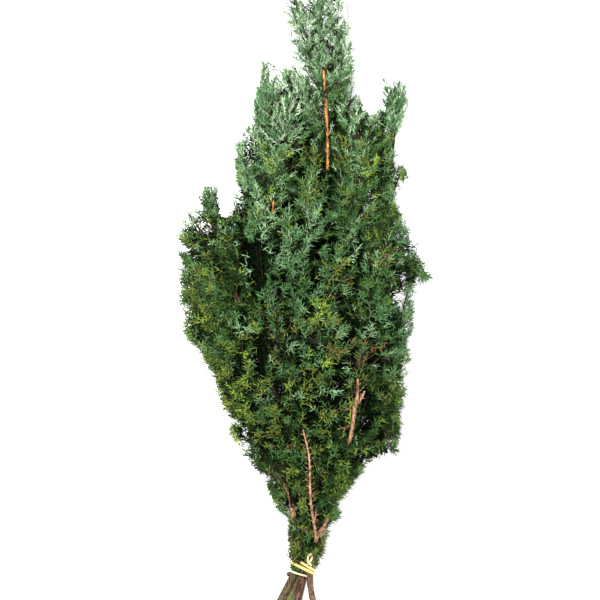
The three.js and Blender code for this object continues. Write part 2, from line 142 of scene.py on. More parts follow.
# The masses of foliage: name, the limb that carries it, the y where its twig leaves that limb
# or None at the limb's tip, the point that it reaches, half its width, and its own bend if any
MASSES = metres([
    ("leader_plume", "leader_stem", None, (12, 339, 50), 27),
    ("leader_left", "leader_stem", 190, (-10, 290, 62), 20),
    ("leader_flank", "leader_stem", 92, (-10, 226, 68), 24),
    ("leader_column", "leader_stem", 112, (37, 300, 48), 20),
    ("leader_side", "leader_stem", 36, (37, 120, 78), 13),
    ("arch_spray", "shoulder_bough", None, (-40, 236, 62), 16),
    ("shoulder_outer", "shoulder_bough", 90, (-58, 184, 60), 20),
    ("shoulder_side", "shoulder_bough", 40, (-62, 150, 72), 21),
    ("shoulder_inner", "shoulder_bough", 75, (-12, 200, 92), 24),
    ("shoulder_base", "shoulder_bough", -30, (-50, 96, 96), 24),
    ("far_left_tip", "left_stem", None, (-97, 113, 78), 21),
    ("far_left_point", "left_stem", 26, (-125, 66, 72), 26),
    ("far_left_side", "left_stem", -34, (-121, 20, 62), 36),
    ("far_left_droop", "left_stem", -70, (-116, -36, 54), 30),
    ("left_inner", "left_stem", -60, (-76, 80, 100), 28),
    ("left_low", "left_stem", -110, (-90, -86, 54), 30),
    ("left_hanging", "left_stem", -150, (-70, -140, 48), 24),
    ("left_core", "left_stem", -138, (-62, -44, 88), 30),
    ("centre_left", "front_bough", None, (-44, 90, 122), 28),
    ("centre_low_left", "front_stem", -118, (-46, -26, 106), 30),
    ("centre_mid", "front_stem", -50, (-16, 84, 128), 28),
    ("centre_upper", "front_stem", None, (10, 124, 108), 28),
    ("centre_right", "front_stem", -62, (38, 48, 120), 28),
    ("centre_low_right", "front_stem", -108, (30, -18, 118), 28),
    ("low_left", "front_stem", -165, (-36, -104, 86), 26),
    ("low_right", "right_stem", -190, (24, -98, 88), 24),
    ("neck_left", "left_stem", -216, (-18, -146, 76), 22),
    ("neck_right", "right_stem", -238, (30, -166, 34), 22),
    ("neck_back", "leader_stem", -238, (4, -160, 22), 17),
    ("neck_collar", "front_stem", -257, (2, -204, 62), 18),
    ("right_shoot", "right_stem", None, (98, 226, 62), 16),
    ("right_shoot_side", "right_stem", 95, (74, 182, 76), 18),
    ("right_mid", "right_stem", 62, (99, 130, 80), 20),
    ("crown_top", "crown_bough", None, (54, 190, 84), 24),
    ("crown_side", "crown_bough", 40, (69, 182, 98), 24),
    ("right_outer", "right_stem", 12, (101, 92, 80), 25),
    ("right_droop", "right_stem", 4, (125, 19, 70), 22, (108, 62, 72)),
    ("right_front", "right_stem", -62, (76, 40, 112), 28),
    ("right_tip", "right_bough", None, (105, 8, 70), 22),
    ("right_low", "right_bough", -118, (97, -68, 58), 26),
    ("right_drop", "right_bough", -130, (90, -154, 50), 28),
    ("right_low_inner", "right_stem", -158, (70, -84, 92), 26),
    ("right_core", "right_bough", -120, (62, -20, 84), 28),
    ("under_left", "under_left_bough", None, (-84, 58, 19), 34),
    ("under_middle", "leader_stem", -20, (-12, 92, 20), 34),
    ("under_right", "under_right_bough", None, (78, 88, 19), 34),
    ("under_low_left", "under_left_bough", -130, (-62, -92, 16), 30),
    ("under_low_right", "under_right_bough", -130, (66, -100, 20), 30),
])

# Lone sprigs that reach the crown's outline between the masses, by the limb that carries them: the
# y where each leaves that limb, the point that it reaches, and its own bend if any
SPRIGS = metres([
    ("leader_stem", [
        (150, (-21, 233, 66)), (200, (-12, 310, 60)), (170, (46, 262, 60)), (60, (50, 212, 74)),
        (30, (-22, 126, 82)),
    ]),
    ("crown_bough", [(60, (62, 186, 88)), (30, (40, 150, 92))]),
    ("shoulder_bough", [
        (100, (-50, 216, 62)), (50, (-66, 150, 70)), (0, (-69, 98, 74)), (30, (-26, 100, 100)),
    ]),
    ("right_stem", [
        (130, (88, 212, 72)), (120, (80, 180, 84)), (70, (104, 140, 74)), (-30, (112, 44, 74)),
    ]),
    ("left_stem", [
        (30, (-113, 84, 70)), (40, (-92, 116, 80)), (-20, (-120, 44, 66)), (-50, (-121, 4, 60)),
        (-80, (-120, -24, 54)), (-95, (-112, -47, 50)), (-120, (-94, -64, 50)),
        (-130, (-82, -100, 52)), (-160, (-70, -132, 50)), (-172, (-56, -160, 46)),
        (-190, (-36, -172, 50)), (-204, (-26, -200, 44)),
    ]),
    ("right_bough", [
        (-100, (104, -52, 60)), (-120, (100, -92, 56)), (-140, (94, -130, 54)),
        (-150, (76, -150, 56)),
    ]),
    ("right_stem", [
        (-200, (58, -158, 70)), (-216, (46, -188, 60)), (-236, (31, -212, 50)),
        (-210, (24, -160, 70)),
    ]),
    ("front_stem", [(-240, (-6, -194, 54))]),
    ("leader_stem", [(-235, (0, -186, 34)), (140, (-26, 222, 70)), (160, (-14, 244, 64))]),
    ("shoulder_bough", [(120, (-31, 204, 72)), (130, (-22, 214, 66))]),
    ("left_stem", [
        (-10, (-121, 30, 68)), (-40, (-122, 14, 64)), (-60, (-119, -12, 60)),
        (-75, (-117, -34, 55)), (-70, (-108, -20, 74)),
    ]),
    ("right_bough", [
        (-85, (107, -12, 66)), (-95, (106, -32, 62)), (-140, (94, -112, 52)),
        (-148, (93, -145, 50)), (-155, (86, -132, 60)),
    ]),
    ("right_stem", [(-200, (68, -160, 56)), (-205, (55, -168, 62))]),
    ("left_stem", [(-140, (-71.5, -148, 50), (-70, -112, 58))]),
    ("right_bough", [(-140, (96, -125, 56)), (-120, (97, -100, 58))]),
    ("right_stem", [(-195, (68, -150, 50))]),
    ("right_bough", [
        (-70, (92.5, -146, 58), (92.5, -100, 68)), (-80, (88.5, -134, 64), (89, -100, 73)),
        (-100, (84, -148, 60), (86, -120, 70)),
    ]),
    ("left_stem", [(-20, (-123, 45, 70)), (-50, (-122, 2, 64))]),
    ("shoulder_bough", [(60, (-66, 162, 70)), (120, (-38, 224, 66))]),
    ("crown_bough", [(0, (90, 100, 84))]),
    ("right_stem", [(20, (104, 60, 74))]),
    ("left_stem", [(-165, (-56, -152, 56)), (-190, (-46, -170, 46))]),
    ("right_stem", [(100, (64, 186, 80))]),
    ("crown_bough", [(50, (57, 196, 80))]),
    ("leader_stem", [(70, (-6, 158, 30)), (50, (-16, 138, 34)), (30, (-8, 118, 30))]),
    ("shoulder_bough", [(40, (-12, 142, 50))]),
    ("left_stem", [(-250, (-9, -222, 42))]),
    ("front_stem", [(-260, (1, -228, 44))]),
    ("right_stem", [(-262, (16, -232, 42))]),
    ("left_stem", [
        (-150, (-20.5, -214.5, 42), (-34, -188, 55)), (-155, (-22.5, -208, 46), (-35, -182, 55)),
    ]),
    ("right_stem", [(-240, (34, -215, 52))]),
    ("left_stem", [(-232, (-8.5, -266, 33), (-11, -243, 41))]),
    ("front_stem", [(-236, (-3, -266, 34), (0, -246, 41))]),
    ("right_stem", [(-240, (14.5, -264, 34), (18.5, -250, 40))]),
])

# Twigs whose bark shows from above, with the radius of foot and tip and the points they pass
BARE_TWIGS = metres({
    "centre_twig": (1.7, 0.8, [
        (13.5, -247, 36), (12.5, -233, 43), (11.5, -226, 47), (8.5, -206, 56), (7.5, -189, 63),
        (7.5, -169, 70), (5.5, -151, 76), (0.5, -130, 83),
    ]),
    "centre_fork": (1, 0.6, [(11.5, -226.5, 47), (12.8, -221, 50), (14, -212, 53)]),
    "low_fork": (1.4, 0.9, [(14.8, -246, 36), (13.2, -240, 40), (12.8, -233, 42.5)]),
    "right_fork": (1.9, 1.1, [(52.5, -106, 91), (54.5, -92, 96), (54.5, -79, 99)]),
    "right_side_fork": (1.6, 0.8, [(52.8, -105, 91), (57.5, -99, 95), (61.5, -91, 98)]),
    "low_side_twig": (0.9, 0.5, [(48, -125.5, 87), (41.5, -127.5, 89), (34.5, -129, 90)]),
    "high_side_twig": (0.9, 0.5, [(50, -111, 89), (44.5, -108.5, 92), (39.5, -106, 93)]),
    "left_red_twig": (1.5, 0.9, [(-23.5, -98, 78), (-27.5, -92, 80), (-32.5, -87, 81)]),
    "far_left_twig": (1.2, 0.7, [(-62.5, -3, 80), (-65.5, 4, 83), (-68.5, 12, 85)]),
    "orange_twig": (1.4, 0.9, [(-29.5, 84, 100), (-29.2, 90, 101), (-28.5, 97, 102)]),
})

TWIG_PITCH = 0.0016  # the same measures for these twigs as for limbs
TWIG_RELIEF = 0.0001
TWIG_STUB = (0.0025, 0.004)
TWIG_STUB_PITCH = 0.0032
TWIG_STUB_RADIUS = 0.0004

# The band's strands: where each crosses x = 0, and how steeply it slants
BAND_PLANES = {"front": (-0.2743, -0.5), "crossing": (-0.2692, -0.62), "winding": (-0.2825, -0.4)}
BAND_TOP = -0.262
CROSSING_SEEN_FROM = -0.002  # x to the left of which leaves hide the crossing strand
BAND_VIEW = 0.0017  # half the width of the gap in the leaves over a strand
LOOP_VIEW = (0.0078, -0.2645, 0.0036, 0.0066)  # the gap over the band's loop: x, y, half sizes
LOOP_HEIGHT = 0.0335
PRESSED_REACH = (-0.2795, -0.2695)  # y of the leaves pressed on the left stem between strands
PRESSED_COUNT = 240
PRESSED_LENGTH = (0.0022, 0.004)
PRESSED_WIDTH = 0.0008
LOOP_WAY = metres([
    (5.8, -269.5, 29), (5.2, -265.5, 32.5), (6.2, -261, 35), (8.4, -259.2, 35.7),
    (9.8, -261.2, 35), (9, -265, 33), (7.2, -267.5, 32), (8.8, -271.2, 30),
])

# Growth of a mass, as in the part's own rule
GAP = 0.00045
REST_HEIGHT = 0.002
HIGHEST = cad_box[1][2]
TOP_MARGIN = 0.003  # how far below that a spray's line ends
GOLDEN_SHARE = (math.sqrt(5) - 1) / 2
GOLDEN_TURN = 2.4
CROWN_MIDDLE = 0.042  # height of the middle of the crown, up to y = 0
CROWN_FALL = 0.07  # how much lower that is for each metre further towards the tips
CROWN_FLATNESS = 0.23
BEND_SHARE = 0.35
BEND_LEAD = 0.08
FIRST_ROOT = 0.08
FIRST_END = 0.16
LAST_END = 0.97
TIP_NARROWING = 0.5
LIFTS = (0.55, -0.55, 0.1, -0.15)  # levels of a mass's sprays, as shares of its half width
LONGEST_SPRAY = 0.058
LONGEST_SHARE = 0.72
MOST_SIDEWAYS = 0.7
SWAY = 0.4  # how far a spray may curve aside, as a share of its reach
SPRAY_PITCH = 0.0036  # along a mass, from one spray to the next
SPRIG_PITCH = 0.0034
SPRIG_SPREAD = 0.011
LIMB_SPRAY = 0.03  # length of the sprays that stand on a limb itself
LIMB_SPRAY_PITCH = 0.0056
CLADDING = 0.011  # length of the leafy shoots that lie along a limb
CLADDING_PITCH = 0.0012
MASS_THINNING = 1.6  # how much further apart both stand on a mass's main twig
MASS_TWIG = (0.0021, 0.0006)  # radius of a main or side twig's foot and tip
SPRIG_TWIG = (0.0014, 0.0004)
SIDE_TWIG = (0.0006, 0.0003)
CLAD_RADIUS = 0.0015  # how far from a main twig's middle its cladding starts
SPRIG_SEED = 100  # seeds of masses run from 1, and those of the others from here
LIMB_CLADDING_SEED = 300
MASS_CLADDING_SEED = 400
FORK_SHARE = 0.75  # the most of its limb's thickness that a twig has at its foot

# Twiglets of a spray and needles of a twiglet
TWIGLET_PITCH = 0.0029
TWIGLET_SHARE = 0.29  # of its spray's length that the longest twiglet has
TWIGLET_LEAN = (1.0, 0.5)  # radians off the spray's run, at its foot and at its tip
FINE_FROM = 0.02  # y where the needles start to shorten, and where they are shortest
FINE_TO = 0.2
NEEDLE = dict(length=0.0074, width=0.001, lean=1.05, pitch=0.0014)
FINE_NEEDLE = dict(length=0.0046, width=0.0008, lean=0.92, pitch=0.00108)
SHOOT_WIDTH = 0.0009

# The crown's outline from above, as (y, x) down its left and its right side, and the gaps in it
# where the table shows: x, y and half sizes
LEFT_EDGE = metres([
    (345, -22), (275, -17.5), (252, -14.5), (243, -21), (239, -39.5), (200, -46.5), (183, -48),
    (170, -58.5), (155, -68.5), (117, -67), (111, -100), (80, -118.5), (60, -127), (50, -123.5),
    (0, -123), (-37, -118.5), (-50, -100), (-65, -95), (-100, -82), (-134, -73.5), (-155, -58.5),
    (-175, -40), (-205, -26.5), (-216.5, -20.5), (-220.5, -12.5), (-250, -11.5), (-281, -14.5),
])
RIGHT_EDGE = metres([
    (345, 38), (280, 47), (225, 50.5), (220, 104), (190, 104.5), (180, 99), (165, 91), (150, 88.5),
    (138, 92), (130, 104), (120, 100), (105, 86.5), (90, 92), (70, 104), (40, 119), (20, 126),
    (12, 108), (-40, 107), (-70, 103), (-120, 96.5), (-153, 94.5), (-158, 73), (-170, 59),
    (-185, 47), (-205, 31), (-217, 34.5), (-229, 24.5), (-253, 19), (-268, 13.5), (-268.5, -1),
    (-281, -2.5),
])
SKY_GAPS = metres([
    (-21.5, -195, 2.2, 6), (-18.5, -204.5, 2.2, 6), (-15.5, -212.5, 2, 5), (-4.5, -211.5, 2, 6.5),
    (68, 200, 9, 17), (-77, 100, 8, 20), (102.5, 21.5, 4.5, 9), (95.5, 4, 9.5, 8.5),
    (-17.5, 213.5, 3.5, 4.5), (1.5, 267, 3.5, 11), (3, 244, 4.5, 5), (-58.5, -138.5, 4.5, 13),
])
# Thin parts of the crown, where fewer sprays leave the table in sight: x, y, half sizes and the
# share of sprays that stay
LACY = [
    (0.0, 0.245, 0.017, 0.034, 0.4), (0.012, 0.28, 0.034, 0.065, 0.6),
    (-0.048, 0.15, 0.022, 0.03, 0.62), (-0.015, 0.212, 0.018, 0.026, 0.9),
]
FARTHEST = 0.342
NECK_END = -0.281  # y above which there are leaves
EDGE_PLAY = 0.004
BARK_VIEW = 0.0006  # how much wider than bark in view the gap in the foliage above it is

# Colours, as linear red, green and blue
TINTS = {
    # shade is painted shade: near black, for the leaves of the crown's core and of its hollows
    "shade": (0.001, 0.0036, 0.0006),
    # deep is a dark green that the blends deal out, and that also paints shade just below the crown's
    # surface
    "deep": (0.008, 0.022, 0.0045),
    "green": (0.034, 0.082, 0.018),
    "blue": (0.053, 0.122, 0.05),
    "glaucous": (0.122, 0.215, 0.108),
    "pale": (0.29, 0.37, 0.265),
    "olive": (0.09, 0.12, 0.022),
    "fresh": (0.16, 0.235, 0.032),
    "dry": (0.1, 0.062, 0.026),
}
# How the sprays of each part of the crown share the tints
BLENDS = {
    "top": dict(deep=0.03, green=0.1, blue=0.27, glaucous=0.42, pale=0.18),
    "left_shoulder": dict(deep=0.16, green=0.18, blue=0.24, glaucous=0.34, pale=0.015, fresh=0.05),
    "right_shoulder": dict(deep=0.3, green=0.26, blue=0.18, glaucous=0.12, olive=0.08, fresh=0.06),
    "front": dict(deep=0.26, green=0.28, blue=0.31, glaucous=0.12, olive=0.03),
    "front_low": dict(deep=0.24, green=0.3, blue=0.15, glaucous=0.09, olive=0.2, fresh=0.02),
    "left": dict(deep=0.26, green=0.36, blue=0.14, glaucous=0.07, olive=0.15, fresh=0.04),
    "right": dict(deep=0.28, green=0.24, blue=0.24, glaucous=0.15, olive=0.08, dry=0.01),
    "low": dict(deep=0.32, green=0.33, blue=0.07, glaucous=0.03, olive=0.22, fresh=0.02, dry=0.02),
    "neck": dict(deep=0.38, green=0.24, olive=0.28, glaucous=0.03, fresh=0.01, dry=0.06),
}
# Patches that lean to one tint: x, y, half sizes, the tint and the share of leaves that take it
PATCHES = [
    (0.055, -0.055, 0.034, 0.018, "dry", 0.2), (-0.035, -0.15, 0.025, 0.03, "dry", 0.08),
    (0.0205, -0.006, 0.007, 0.013, "fresh", 0.6), (0.025, -0.062, 0.006, 0.009, "fresh", 0.5),
    (-0.02, 0.06, 0.018, 0.03, "glaucous", 0.25), (-0.015, 0.01, 0.02, 0.03, "blue", 0.4),
    (0.1, -0.02, 0.014, 0.03, "blue", 0.6), (0.004, 0.13, 0.018, 0.03, "olive", 0.4),
    (0.05, 0.135, 0.018, 0.036, "olive", 0.18), (-0.072, -0.132, 0.008, 0.02, "fresh", 0.5),
    (-0.11, 0, 0.014, 0.05, "olive", 0.25), (-0.064, -0.082, 0.022, 0.04, "olive", 0.25),
    (-0.064, -0.082, 0.022, 0.04, "fresh", 0.15), (0.005, -0.25, 0.03, 0.028, "dry", 0.1),
    (0.031, -0.217, 0.007, 0.009, "green", 0.8), (-0.012, 0.11, 0.02, 0.035, "green", 0.25),
    (0.095, 0.205, 0.018, 0.04, "blue", 0.4), (0.03, 0.185, 0.02, 0.03, "green", 0.3),
    (-0.08, -0.09, 0.03, 0.06, "fresh", 0.08), (-0.098, -0.045, 0.02, 0.035, "fresh", 0.12),
    # The deep patch at x 0.064, y -0.11, over a hollow, is painted shade
    (0.064, -0.11, 0.026, 0.034, "deep", 0.5), (-0.022, -0.2, 0.006, 0.016, "green", 0.7),
]
OWN_TINT = 0.62  # share of a spray's twiglets that have its own tint
DARK_DEPTHS = (0.0048, 0.0098)  # below the crown's surface: leaves turn deep green, then dark, as painted shade
DEPTH_BY_Y = ((-0.1, 0.05, 0.16, 0.22), (0.72, 0.95, 1.0, 1.5))  # y, and shares of those depths
EDGE_DEPTH = 0.75  # the most that a leaf counts as deep, as a share of its way to the outline
RIM = 0.006  # how far in from the outline every leaf stays
SURFACE_KEPT = 0.74  # share of the lit leaves that are grown, so that dark ones show between
SHADE_KEPT = 1.0  # share of the dark leaves that are grown
SURFACE_CELL = 0.01  # size of the squares in which the crown's surface is read
SURFACE_SHARE = 0.93  # share of the places in a square that lie under its surface

# Hollows in the upper side of the crown, where its dark core shows, every leaf in them tinted in
# painted shade: x, y and half sizes
HOLLOWS = metres([
    (-43.5, 37, 11.5, 31), (-42.5, -55, 7.5, 26), (-64, -62, 4, 20), (-21, -87, 6, 12),
    (64.5, -112, 8.5, 28), (12, 18, 4, 12),
])
HOLLOW_DEPTH = 0.032
POCKETS = 150  # small hollows that are strewn over the crown, in this reach and of these sizes
POCKET_REACH = ((-0.11, 0.11), (-0.2, 0.22))
POCKET_SIZES = ((0.0025, 0.0055), (0.005, 0.012))
POCKET_DEPTH = 0.02
SHADE_BULK = 3.2  # how much broader, and sparser, the needles of the dark core are
PIECE_LIMIT = 190000  # faces
UP = np.array([0.0, 0.0, 1.0])


def unit(vectors):
    """Each vector at length one."""
    lengths = np.linalg.norm(vectors, axis=-1, keepdims=True)
    return vectors / np.maximum(lengths, 1e-12)


def random_from(seed):
    """A repeatable stream of numbers from 0 to 1 for each seed."""
    word_size = 0xFFFFFFFF
    state = seed

    def draw():
        nonlocal state
        state = (state + 0x6D2B79F5) & word_size
        word = ((state ^ (state >> 15)) * (state | 1)) & word_size
        word ^= (word + (((word ^ (word >> 7)) * (word | 61)) & word_size)) & word_size
        return ((word ^ (word >> 14)) & word_size) / 2**32

    return draw


class Line:
    """A line through close points, read by the share of its length."""

    def __init__(self, points):
        self.points = np.array(points, dtype=float)
        steps = np.linalg.norm(np.diff(self.points, axis=0), axis=1)
        self.along = np.concatenate([[0.0], np.cumsum(steps)])
        self.length = self.along[-1]

    def at(self, share):
        """The place at a share of the length, or one place for each of several shares."""
        where = np.asarray(share) * self.length
        axes = [np.interp(where, self.along, self.points[:, k]) for k in range(3)]
        return np.stack(axes, axis=-1)

    def run(self, share):
        """The direction in which the line goes there."""
        share = np.asarray(share)
        return unit(self.at(np.minimum(share + 0.01, 1)) - self.at(np.maximum(share - 0.01, 0)))

    def share_at_y(self, y):
        return np.interp(y, self.points[:, 1], self.along) / self.length


def smooth_line(way, steps=24):
    """A centripetal Catmull-Rom line through the places of a way."""
    places = [np.array(place, dtype=float) for place in way]
    places = [2 * places[0] - places[1], *places, 2 * places[-1] - places[-2]]
    points = []
    for before, start, end, after in zip(places, places[1:], places[2:], places[3:]):
        pairs = ((before, start), (start, end), (end, after))
        lead, span, trail = (math.sqrt(np.linalg.norm(b - a)) for a, b in pairs)
        leaving = (start - before) / lead - (end - before) / (lead + span) + (end - start) / span
        coming = (end - start) / span - (after - start) / (span + trail) + (after - end) / trail
        for t in np.arange(steps) / steps:
            points.append(
                (2 * t**3 - 3 * t**2 + 1) * start
                + (t**3 - 2 * t**2 + t) * leaving * span
                + (3 * t**2 - 2 * t**3) * end
                + (t**3 - t**2) * coming * span
            )
    points.append(places[-2])
    return Line(points)


def bent_line(start, bend, end, steps=24):
    """A quadratic curve from start to end that leans towards bend."""
    t = np.linspace(0, 1, steps + 1)[:, None]
    return Line((1 - t) ** 2 * start + 2 * t * (1 - t) * bend + t**2 * end)


# Limbs
def limb_radius(name, share):
    """A limb's radius at a share of its length; some taper faster above the band."""
    limb = limbs[name]
    radius = limb["tip"] + (limb["foot"] - limb["tip"]) * (1 - share) ** TAPERS.get(name, 1.0)
    swell = 1 + FOOT_SWELL * max(0.0, 1 - share / FOOT_SHARE)
    return radius * swell if name in STEMS else radius


def grow_limbs():
    """Every stem and bough by name, with its line and its plan."""
    limbs = {name: dict(plan, line=smooth_line(plan["way"])) for name, plan in STEMS.items()}
    for name, plan in BOUGHS.items():
        parent = limbs[plan["on"]]["line"]
        start = parent.at(parent.share_at_y(plan["leaves"]))
        limbs[name] = dict(plan, line=smooth_line([start, *plan["way"]]))
    return limbs


def find_bark_in_view():
    """Each stretch of bark in view: its line, from and to which y, and half its gap's width."""
    found = []
    for name, limb in limbs.items():
        for low, high in limb["bare"]:
            radius = limb_radius(name, limb["line"].share_at_y((low + high) / 2))
            found.append((limb["line"], low, high, radius + BARK_VIEW))
    for name, line in twig_lines.items():
        ys = line.points[:, 1]
        found.append((line, ys.min(), ys.max(), BARE_TWIGS[name][0] + BARK_VIEW))
    return found


limbs = grow_limbs()
twig_lines = {name: smooth_line(points, 10) for name, (_, _, points) in BARE_TWIGS.items()}
bark_in_view = find_bark_in_view()


# The crown's bounds
def in_ellipse(places, centre_x, centre_y, half_x, half_y):
    x, y = places[:, 0], places[:, 1]
    return ((x - centre_x) / half_x) ** 2 + ((y - centre_y) / half_y) ** 2 < 1


def outline_distance(places):
    """How far places lie from the crown's outline, to the left or to the right."""
    left, right = (
        np.interp(-places[:, 1], [-y for y, _ in edge], [x for _, x in edge])
        for edge in (LEFT_EDGE, RIGHT_EDGE)
    )
    return np.minimum(places[:, 0] - left, right - places[:, 0])


def inside_outline(places, play):
    """Which places lie inside the crown's outline and out of its gaps, seen from above."""
    y = places[:, 1]
    kept = (outline_distance(places) > -play) & (y > NECK_END) & (y < FARTHEST)
    for gap in SKY_GAPS:
        kept &= ~in_ellipse(places, *gap)
    return kept


def strewn_pockets(dice):
    """Small hollows, strewn over the crown."""
    xs, ys = (dice.uniform(*reach, POCKETS) for reach in POCKET_REACH)
    return [(x, y, *(dice.uniform(*sizes) for sizes in POCKET_SIZES)) for x, y in zip(xs, ys)]


def out_of_hollows(places, depths, hollows, hollow_depth):
    """Which places don't fill a hollow in the crown's upper side."""
    kept = np.ones(len(places), dtype=bool)
    for hollow in hollows:
        kept &= ~in_ellipse(places, *hollow) | (depths > hollow_depth)
    return kept


def clear_of_bark(places):
    """Which places don't hide bark that shows from above."""
    x, y, z = places.T
    clear = np.ones(len(places), dtype=bool)
    for line, low, high, margin in bark_in_view:
        bark_x, bark_z = (np.interp(y, line.points[:, 1], line.points[:, k]) for k in (0, 2))
        clear &= ~((y > low) & (y < high) & (np.abs(x - bark_x) < margin) & (z > bark_z))
    return clear


def clear_of_band(places):
    """Which places don't hide the elastic band from above."""
    x, y, z = places.T
    clear = np.ones(len(places), dtype=bool)
    for name, (crossing, slant) in BAND_PLANES.items():
        covered = np.abs(y - crossing - slant * x) < BAND_VIEW
        clear &= ~covered | ((name == "crossing") & (x < CROSSING_SEEN_FROM))
    clear |= y > BAND_TOP
    return clear & ~(in_ellipse(places, *LOOP_VIEW) & (z > LOOP_HEIGHT))


# Masses and their sprays
def mass_line(on, leaves, tip, bend=None):
    """A mass's main twig leaves its limb with the limb's own run and bends to its tip."""
    line = limbs[on]["line"]
    tip = np.array(tip)
    share = 1.0 if leaves is None else line.share_at_y(leaves)
    start = line.at(share)
    run = line.run(share)
    if leaves is None:
        start = start + run * GAP
    if bend is None:
        distance = np.linalg.norm(tip - start)
        bend = start + (tip - start) * BEND_SHARE + run * distance * BEND_LEAD
    return bent_line(start, np.array(bend), tip)


def main_twig(line, on, leaves, radii, sides, steps):
    """A mass's main twig as a tube: inside the crown's outline, and thinner than its limb."""
    share = 1.0 if leaves is None else limbs[on]["line"].share_at_y(leaves)
    shares = np.linspace(0, 1, 41)
    last = shares[inside_outline(line.at(shares), 0.0)].max()
    foot = min(radii[0], FORK_SHARE * limb_radius(on, share))
    return tube_of(Line(line.at(np.linspace(0, last, 25))), foot, radii[1], sides, steps)


def outward_side(place, run):
    """The side that faces out of the crown at a place, square to a run."""
    middle = CROWN_MIDDLE - CROWN_FALL * max(0.0, place[1])
    outward = np.array([place[0] * CROWN_FLATNESS, 0, place[2] - middle])
    return unit(outward - run * (outward @ run))


def within_height(place):
    height = min(max(place[2], REST_HEIGHT), HIGHEST - TOP_MARGIN)
    return np.array([place[0], place[1], height])


def mass_sprays(index, line, spread, pitch):
    """The sprays of one mass, each a line with the side that it faces."""
    random = random_from(index + 1)
    longest = min(LONGEST_SPRAY, line.length * LONGEST_SHARE)
    first = random()
    plans = [(1.0, 0.0, 0.0, longest)]
    for k in range(round(line.length / pitch)):
        end_share = FIRST_END + (LAST_END - FIRST_END) * ((first + k * GOLDEN_SHARE) % 1)
        width = spread * (1 - TIP_NARROWING * end_share**3)
        offset = width * (0.35 + 0.75 * random()) * (1 if k % 2 == 0 else -1)
        lift = LIFTS[k % len(LIFTS)] * spread * (0.7 + 0.6 * random())
        plans.append((end_share, offset, lift, longest * (0.55 + 0.45 * random())))
    sprays = []
    for end_share, offset, lift, size in plans:
        sideways = min(max(offset, -MOST_SIDEWAYS * size), MOST_SIDEWAYS * size)
        back = math.sqrt(size**2 - sideways**2) / line.length
        root_share = max(FIRST_ROOT, end_share - back)
        root = line.at(root_share)
        end = line.at(end_share)
        forward = line.run(end_share)
        outward = outward_side(end, forward)
        across = np.cross(forward, outward)
        end = within_height(end + across * sideways + outward * lift)
        reach = np.linalg.norm(end - root)
        knee = root + line.run(root_share) * reach * 0.45 + outward * reach * (0.25 * random() - 0.06)
        knee = knee + across * reach * SWAY * (random() - 0.5)
        sprays.append(dict(line=bent_line(root, knee, end, 6), facing=outward))
    return sprays


def leafy_shares(line, pitch, end):
    """Shares of a line at which leaves stand, from above the band to just short of its tip."""
    first = line.share_at_y(NECK_END) if line.points[0, 1] < NECK_END else 0.0
    return np.arange(first, 1 - end / line.length, pitch / line.length)


def limb_sprays(name, line, foot, pitch):
    """Short sprays that stand round a limb or main twig itself."""
    random = random_from(len(name) * 7 + int(foot * 1e5) + int(line.length * 1e4))
    sprays = []
    turn = 6.28 * random()
    for share in leafy_shares(line, pitch, 0.004):
        root = line.at(share)
        run = line.run(share)
        outward = outward_side(root, run)
        turn += GOLDEN_TURN
        side = outward * math.cos(turn) + np.cross(run, outward) * math.sin(turn)
        size = LIMB_SPRAY * (0.7 + 0.6 * random())
        end = within_height(root + run * size * 0.72 + side * size * 0.69)
        knee = root + run * size * 0.2 + side * size * 0.4
        sprays.append(dict(line=bent_line(root, knee, end, 6), facing=unit(side + outward * 0.4)))
    return sprays


def cladding_of(line, radius_at, seed, pitch):
    """The feet and ends of the short leafy shoots that lie along a limb or main twig."""
    random = random_from(seed)
    feet = []
    ends = []
    turn = 0.0
    for share in leafy_shares(line, pitch, 0.002):
        run = line.run(share)
        side = unit(np.cross(run, np.array([0.0, 0.1, 1.0])))
        turn += GOLDEN_TURN
        radial = side * math.cos(turn) + np.cross(run, side) * math.sin(turn)
        size = CLADDING * (0.7 + 0.6 * random())
        feet.append(line.at(share) + radial * radius_at(share) * 0.8)
        ends.append(feet[-1] + run * size * 0.88 + radial * size * 0.47)
    return np.array(feet), np.array(ends)


def twiglets_of(spray, dice):
    """The feet and ends of a spray's twiglets, alternate to its left and right, and its own tip."""
    line = spray["line"]
    count = max(4, round(line.length / TWIGLET_PITCH))
    shares = 0.1 + 0.88 * (np.arange(count) + dice.uniform(0, 1, count)) / count
    places = line.at(shares)
    runs = line.run(shares)
    across = unit(np.cross(runs, spray["facing"]))
    normal = np.cross(across, runs)
    roll = dice.uniform(-1.5, 1.5, count)[:, None]
    side = np.where(np.arange(count) % 2 == 0, 1.0, -1.0)[:, None]
    sideways = across * np.cos(roll) + normal * np.sin(roll)
    lean = TWIGLET_LEAN[0] + (TWIGLET_LEAN[1] - TWIGLET_LEAN[0]) * shares
    lean = (lean + dice.normal(0, 0.18, count))[:, None]
    direction = runs * np.cos(lean) + side * sideways * np.sin(lean)
    fullness = np.interp(shares, [0, 0.3, 1], [0.55, 1, 0.38])
    size = line.length * TWIGLET_SHARE * fullness * dice.uniform(0.7, 1.2, count)
    feet = np.vstack([places, line.at(0.8)])
    ends = np.vstack([places + direction * size[:, None], line.at(1.0) + line.run(1.0) * 0.004])
    return feet, ends


# Needles and tubes, as points and faces
def tetra_needles(feet, directions, lengths, widths, backs):
    """Closed needles of four faces: slim at both ends, with a raised back."""
    across = unit(np.cross(directions, backs))
    rise = unit(np.cross(across, directions)) * (widths * 0.4)[:, None]
    half = across * (widths / 2)[:, None]
    broadest = feet + directions * (lengths * 0.4)[:, None] + rise
    tips = feet + directions * lengths[:, None]
    points = np.stack([feet, broadest - half, broadest + half, tips], axis=1).reshape(-1, 3)
    faces = np.array([[0, 2, 1], [1, 2, 3], [0, 1, 3], [0, 3, 2]])
    faces = (faces[None] + 4 * np.arange(len(feet))[:, None, None]).reshape(-1, 3)
    return points, faces


